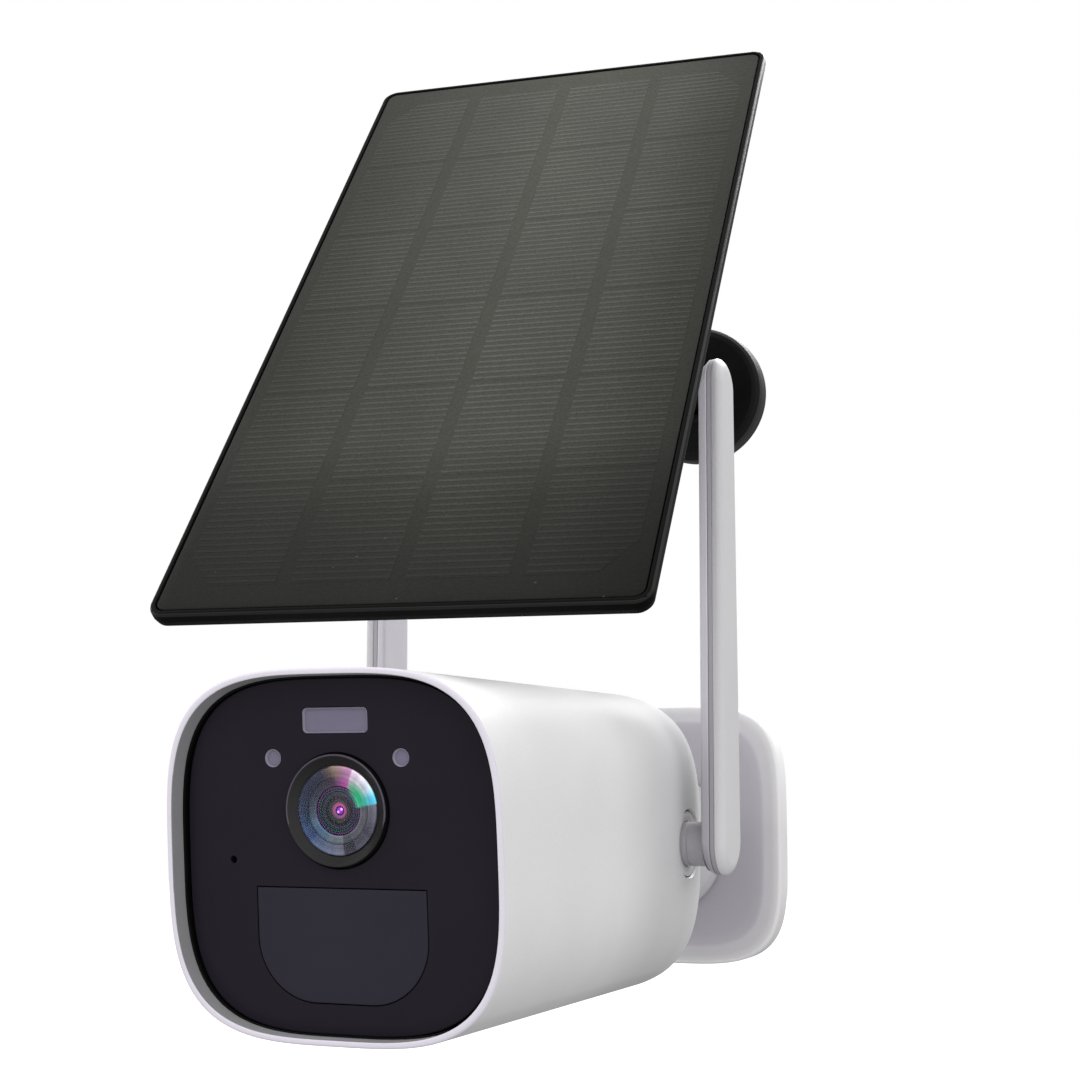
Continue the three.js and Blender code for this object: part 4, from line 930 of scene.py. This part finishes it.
# Pan heads with a cross recess
HEAD_R, HEAD_H = 2.4, 1.3
head = rounded([(0, HEAD_H), (HEAD_R * 0.55, HEAD_H, 0.3), (HEAD_R, HEAD_H * 0.45, 0.5), (HEAD_R, 0, 0.1), (0, 0)])
head = placed(turn(head, 40), ON_Z)
heads = sun_object("junction_screws", merged(*[placed(head, at(x, y, back - 5.5)) for x, y in SCREWS]), "steel")
carve(heads, *[stack(box_outline(w, h, 0.1, x, y, 2), [(0.1, back - 6.2), (0, back - 7.6)])
               for x, y in SCREWS for w, h in ((2.6, 0.55), (0.55, 2.6))])
piece(heads, "panel", "steel")

gland = rounded([(1.7, -3.5), (3.7, -3.5, 0.4), (3.7, -1.6), (3.45, -1.4), (3.45, -0.6), (3.7, -0.4), (3.6, 1.2),
                 (3.2, 3.5, 0.5), (1.9, 3.5, 0.3), (1.7, 3.2)], closed=True, steps=3)
gland = turn(gland, 48, closed=True, wave=knurl(12, 0.35, 3.3))
sun_piece("solar_gland", placed(gland, at(0, -34, back - 3.9) @ BACKWARD), "bracket", "solar_mount", "cable_gland")

BZ = -SUN_BALL_BACK
SUN_SEAT = SUN_BALL_R + BALL_GAP
STUD_R, FLANGE_R = 4.4, 11
stud_back = back - 7.3
lift = sqrt(SUN_SEAT ** 2 - STUD_R ** 2)
stud = on_sphere(SUN_SEAT, BZ, BZ + SUN_SEAT, BZ + lift, 4)
stud += rounded([(STUD_R, BZ + lift), (STUD_R, stud_back - 2.4, 0.6), (10.2, stud_back - 2.0, 0.5),
                 (FLANGE_R, stud_back - 1.2, 0.3), (FLANGE_R, stud_back, 0.2), (3, stud_back), (3, back - 1),
                 (0, back - 1)])
sun_piece("panel_stud_flange", placed(turn(stud, 72, wave=knurl(24, 0.5, 9.9)), ON_Z), "bracket",
          "solar_mount", "panel_stud", sharp=30)
panel_ball = placed(turn(whole_sphere(SUN_BALL_R, 0, 36), 64), at(0, 0, BZ) @ ON_Z)
piece(sun_object("panel_ball_steel", panel_ball, "ball"), "panel_ball", "ball_steel", "panel_ball")

cup_axis = ahead * cos(CUP_RISE) + upright * sin(CUP_RISE)
CUP = basis(across, cup_axis.cross(across), cup_axis, SUN @ Vector((0, 0, BZ)))
cup_ring = on_sphere(SUN_SEAT, 0, -1.1, 4.8, 5)
cup_ring += rounded([cup_ring[-1], (12.4, 4.8, 0.4), (13.6, 3.4, 0.4), (13.6, -0.4, 0.3), (13, -1.1, 0.2)], steps=3)[1:]
cup_ring = placed(turn(cup_ring, 168, closed=True, wave=knurl(24, 0.7, 12.9)), CUP @ ON_Z)
make("cup_ring_grip", cup_ring, "bracket", "cup_ring", "solar_mount", "cup_ring", sharp=40)


# ---------- wall arm, clamp knob and wall disc
def spline(points, per_span):
    """Centripetal spline, the same curve as the CAD's"""
    ext = [points[0] * 2 - points[1]] + points + [points[-1] * 2 - points[-2]]
    path = []
    for i in range(1, len(ext) - 2):
        p0, p1, p2, p3 = ext[i - 1:i + 3]
        d0, d1, d2 = [max((b - a).length, 1e-6) ** 0.5 for a, b in ((p0, p1), (p1, p2), (p2, p3))]
        t1 = ((p1 - p0) / d0 - (p2 - p0) / (d0 + d1) + (p2 - p1) / d1) * d1
        t2 = ((p2 - p1) / d1 - (p3 - p1) / (d1 + d2) + (p3 - p2) / d2) * d1
        for k in range(per_span):
            u = k / per_span
            path.append(p1 * (2 * u ** 3 - 3 * u ** 2 + 1) + t1 * (u ** 3 - 2 * u ** 2 + u)
                        + p2 * (3 * u ** 2 - 2 * u ** 3) + t2 * (u ** 3 - u ** 2))
    path.append(points[-1])
    return path


def sweep(path, radius, segments=40):
    """Round bar along a path"""
    verts, faces = [], []
    side = Vector((1, 0, 0))
    for i, point in enumerate(path):
        tangent = (path[min(i + 1, len(path) - 1)] - path[max(i - 1, 0)]).normalized()
        side = (side - tangent * side.dot(tangent)).normalized()
        other = tangent.cross(side)
        for k in range(segments):
            a = 2 * pi * k / segments
            verts.append(tuple(point + (side * cos(a) + other * sin(a)) * radius))
    for i in range(len(path) - 1):
        for k in range(segments):
            j = (k + 1) % segments
            faces.append((i * segments + k, i * segments + j, (i + 1) * segments + j, (i + 1) * segments + k))
    last = (len(path) - 1) * segments
    return verts, faces + [tuple(range(segments)), tuple(last + k for k in reversed(range(segments)))]


neck, neck_low = CUP @ Vector((0, 0, -14)), CUP @ Vector((0, 0, -22))
arm_path = spline([
    Vector((DISC_X, -3.4, DISC_Z)), Vector((DISC_X, -18, DISC_Z)), Vector((DISC_X - 1.2, -48, DISC_Z - 12)),
    Vector(((DISC_X + neck_low.x) / 2 - 1.5, -80, DISC_Z - 34)), neck_low, neck,
], 14)
make("arm_bar", sweep(arm_path, 5.6), "bracket", "wall", "solar_mount", "wall_arm", sharp=40)

KNOB_DROP = -6.5  # the clamp screw's height in the cup's frame
arm_cup = rounded([(0, -17), (8, -17, 0.8), (10, -15, 1.0), (12.4, -8.4, 3), (13, -5, 2), (13, -1.4, 0.4)], steps=5)
arm_cup += on_sphere(SUN_SEAT, 0, -1.4, -SUN_SEAT, 7)
cup_obj = mesh_object("arm_cup", placed(turn(arm_cup, 88), CUP @ ON_Z), "bracket", sharp=35)
screw_hole = turn([(0, 0), (2.5, 0), (2.5, 11), (0, 11)], 32)
carve(cup_obj, placed(screw_hole, CUP @ at(9, 0, KNOB_DROP) @ ON_X))
piece(cup_obj, "wall", "solar_mount")

# Clamp knob: six-lobed head with a domed cap on a short screw
knob = rounded([(0, 12), (2.2, 12, 0.3), (2.2, 14.9), (4.2, 15, 0.3), (6.5, 15, 0.6), (6.8, 17.2, 1), (6.5, 20.4, 0.9),
                (4.6, 21, 0.5), (3.4, 20.6), (0, 20.6)])
knob = turn(knob, 120, wave=lambda a, r: r * (1 - 0.13 * max(0.0, cos(a * 6))) if r > 4 else r)
make("clamp_knob_grip", placed(knob, CUP @ at(0, 0, KNOB_DROP) @ ON_X), "bracket",
     "clamp_knob", "solar_mount", "clamp_knob", sharp=40)

# Wall disc: flat cover with a rolled rim and a collar round the arm
R = DISC_R
disc = rounded([(6.6, -8.0, 0.2), (8.2, -8.0, 0.3), (8.8, -7.62, 0.3), (R - 2.6, -7.6, 1.4), (R - 1.2, -7.2, 0.6),
                (R - 0.3, -6.2, 0.7), (R, -4.8, 0.8), (R, -0.3, 0.2), (R - 2.2, -0.3), (R - 2.2, -5.2), (9.4, -5.4),
                (6.6, -5.4)], closed=True, steps=5)
disc = mesh_object("wall_disc_cover", placed(turn(disc, 144, closed=True), at(DISC_X, 0, DISC_Z)), "disc", sharp=30)
# Painted light: the disc's side wall gets the lighter black
paint_by(disc, ("disc", "disc_side"), lambda c, n: (
    "disc_side" if abs(n.y) < 0.5 and hypot(c.x - DISC_X, c.z - DISC_Z) > R - 0.8 else None))
piece(disc, "wall", "solar_mount", "disc_cover")

# ---------- CAD nodes that stay: materials and smooth normals
KEEP = {
    "steel": ["wall_bracket", "wall_screw_1", "wall_screw_2", "wall_screw_3", "wall_screw_4", "charging_inlet",
              "heat_sensor", "disc_screw_1", "disc_screw_2", "disc_screw_3"],
    "dark": ["lens_barrel", "front_chassis", "port_bay", "cell_cradle", "reset_button"],
    "mesh": ["speaker"],
    "board": ["image_chip", "main_board"],
    "lamp_board": ["lamp_board"],
    "brass": ["rear_insert", "panel_insert"],
    "cell": ["battery_cell_left", "battery_cell_right"],
    "bracket": ["disc_plate"],
}


def smooth_group():
    """Welds the flat-shaded import and smooths all but its real edges"""
    group = bpy.data.node_groups.new("smooth_by_angle", "GeometryNodeTree")
    for way in ("INPUT", "OUTPUT"):
        group.interface.new_socket("Geometry", in_out=way, socket_type="NodeSocketGeometry")
    angle = add(group, "GeometryNodeInputMeshEdgeAngle").outputs["Unsigned Angle"]
    soft = add(group, "FunctionNodeCompare", data_type="FLOAT", operation="LESS_THAN", A=angle, B=radians(32))
    chain = [
        add(group, "NodeGroupInput"), add(group, "GeometryNodeMergeByDistance", Distance=2e-6),
        add(group, "GeometryNodeSetShadeSmooth", domain="FACE"),
        add(group, "GeometryNodeSetShadeSmooth", domain="EDGE", Shade_Smooth=soft.outputs["Result"]),
        add(group, "NodeGroupOutput"),
    ]
    for before, after in zip(chain, chain[1:]):
        group.links.new(before.outputs[0], after.inputs[0])
    return group


smoother = smooth_group()
for mat, names in KEEP.items():
    for name in names:
        node = NODES[name]
        node.data.materials.clear()
        node.data.materials.append(M[mat])
        node.modifiers.new("smooth", "NODES").node_group = smoother

# ---------- stage, light and camera
bpy.ops.mesh.primitive_plane_add(size=9, location=(0, 0, -0.30))
floor = bpy.context.object
floor.name = "floor"
floor_mat, tree, shader = nodes_of("floor_pale")
dress(tree, shader, Base_Color=(0.82, 0.82, 0.82), Roughness=0.9, Emission_Color=(1, 1, 1), Emission_Strength=0.45)
floor.data.materials.append(floor_mat)
floor.visible_diffuse = False
floor.visible_glossy = False

# A white room to the camera; to the object, a softbox that is brighter in front, above and to the right
world = bpy.data.worlds.new("studio")
bpy.context.scene.world = world
world.use_nodes = True
wt = world.node_tree
axes = split(wt, add(wt, "ShaderNodeTexCoord").outputs["Generated"])
tones = [ramp(wt, span(wt, axes[axis], -1), *stops) for axis, stops in (
    ("Y", ((0.0, 1.0, 0.97, 1.0), (0.3, 0.84, 0.83, 0.855), (0.55, 0.75), (0.78, 0.50), (1.0, 0.28))),
    ("Z", ((0.0, 0.26), (0.45, 0.55), (0.75, 0.74), (1.0, 1.0))),
    ("X", ((0.0, 0.72), (0.5, 0.92), (1.0, 0.92))),
)]
tone = mix(wt, "MULTIPLY", mix(wt, "MULTIPLY", *tones[:2]), tones[2])
room = dress(wt, wt.nodes["Background"], Color=tone, Strength=2.22)
white = add(wt, "ShaderNodeBackground", Color=(1, 1, 1), Strength=1.0)
choose = add(wt, "ShaderNodeMixShader", Fac=add(wt, "ShaderNodeLightPath").outputs["Is Camera Ray"])
wt.links.new(room.outputs["Background"], choose.inputs[1])
wt.links.new(white.outputs["Background"], choose.inputs[2])
wt.links.new(choose.outputs["Shader"], wt.nodes["World Output"].inputs["Surface"])


def area(name, location, aim, size, power):
    light = bpy.data.lights.new(name, "AREA")
    light.shape = "RECTANGLE"
    light.size = light.size_y = size
    light.energy = power
    obj = bpy.data.objects.new(name, light)
    obj.location = location
    obj.rotation_euler = (Vector(aim) - Vector(location)).to_track_quat("-Z", "Y").to_euler()
    bpy.context.collection.objects.link(obj)
    obj.visible_camera = False


area("top_left", (-0.62, -0.22, 0.48), (0.0, -0.13, 0.03), 0.5, 1.3)
area("top_back", (0.10, 0.50, 0.68), (0.0, -0.13, 0.04), 0.5, 7.0)

camera_data = bpy.data.cameras.new("camera")
camera_data.sensor_width = 36
camera_data.lens = 63.37
camera_data.clip_start = 0.01
camera = bpy.data.objects.new("camera", camera_data)
camera.location = (0.18864, -0.55244, 0.01576)
camera.rotation_euler = (radians(90 + 7.14), 0, radians(22.59))
bpy.context.collection.objects.link(camera)
bpy.context.scene.camera = camera
bpy.context.scene.view_settings.view_transform = "Standard"

bpy.context.view_layer.update()
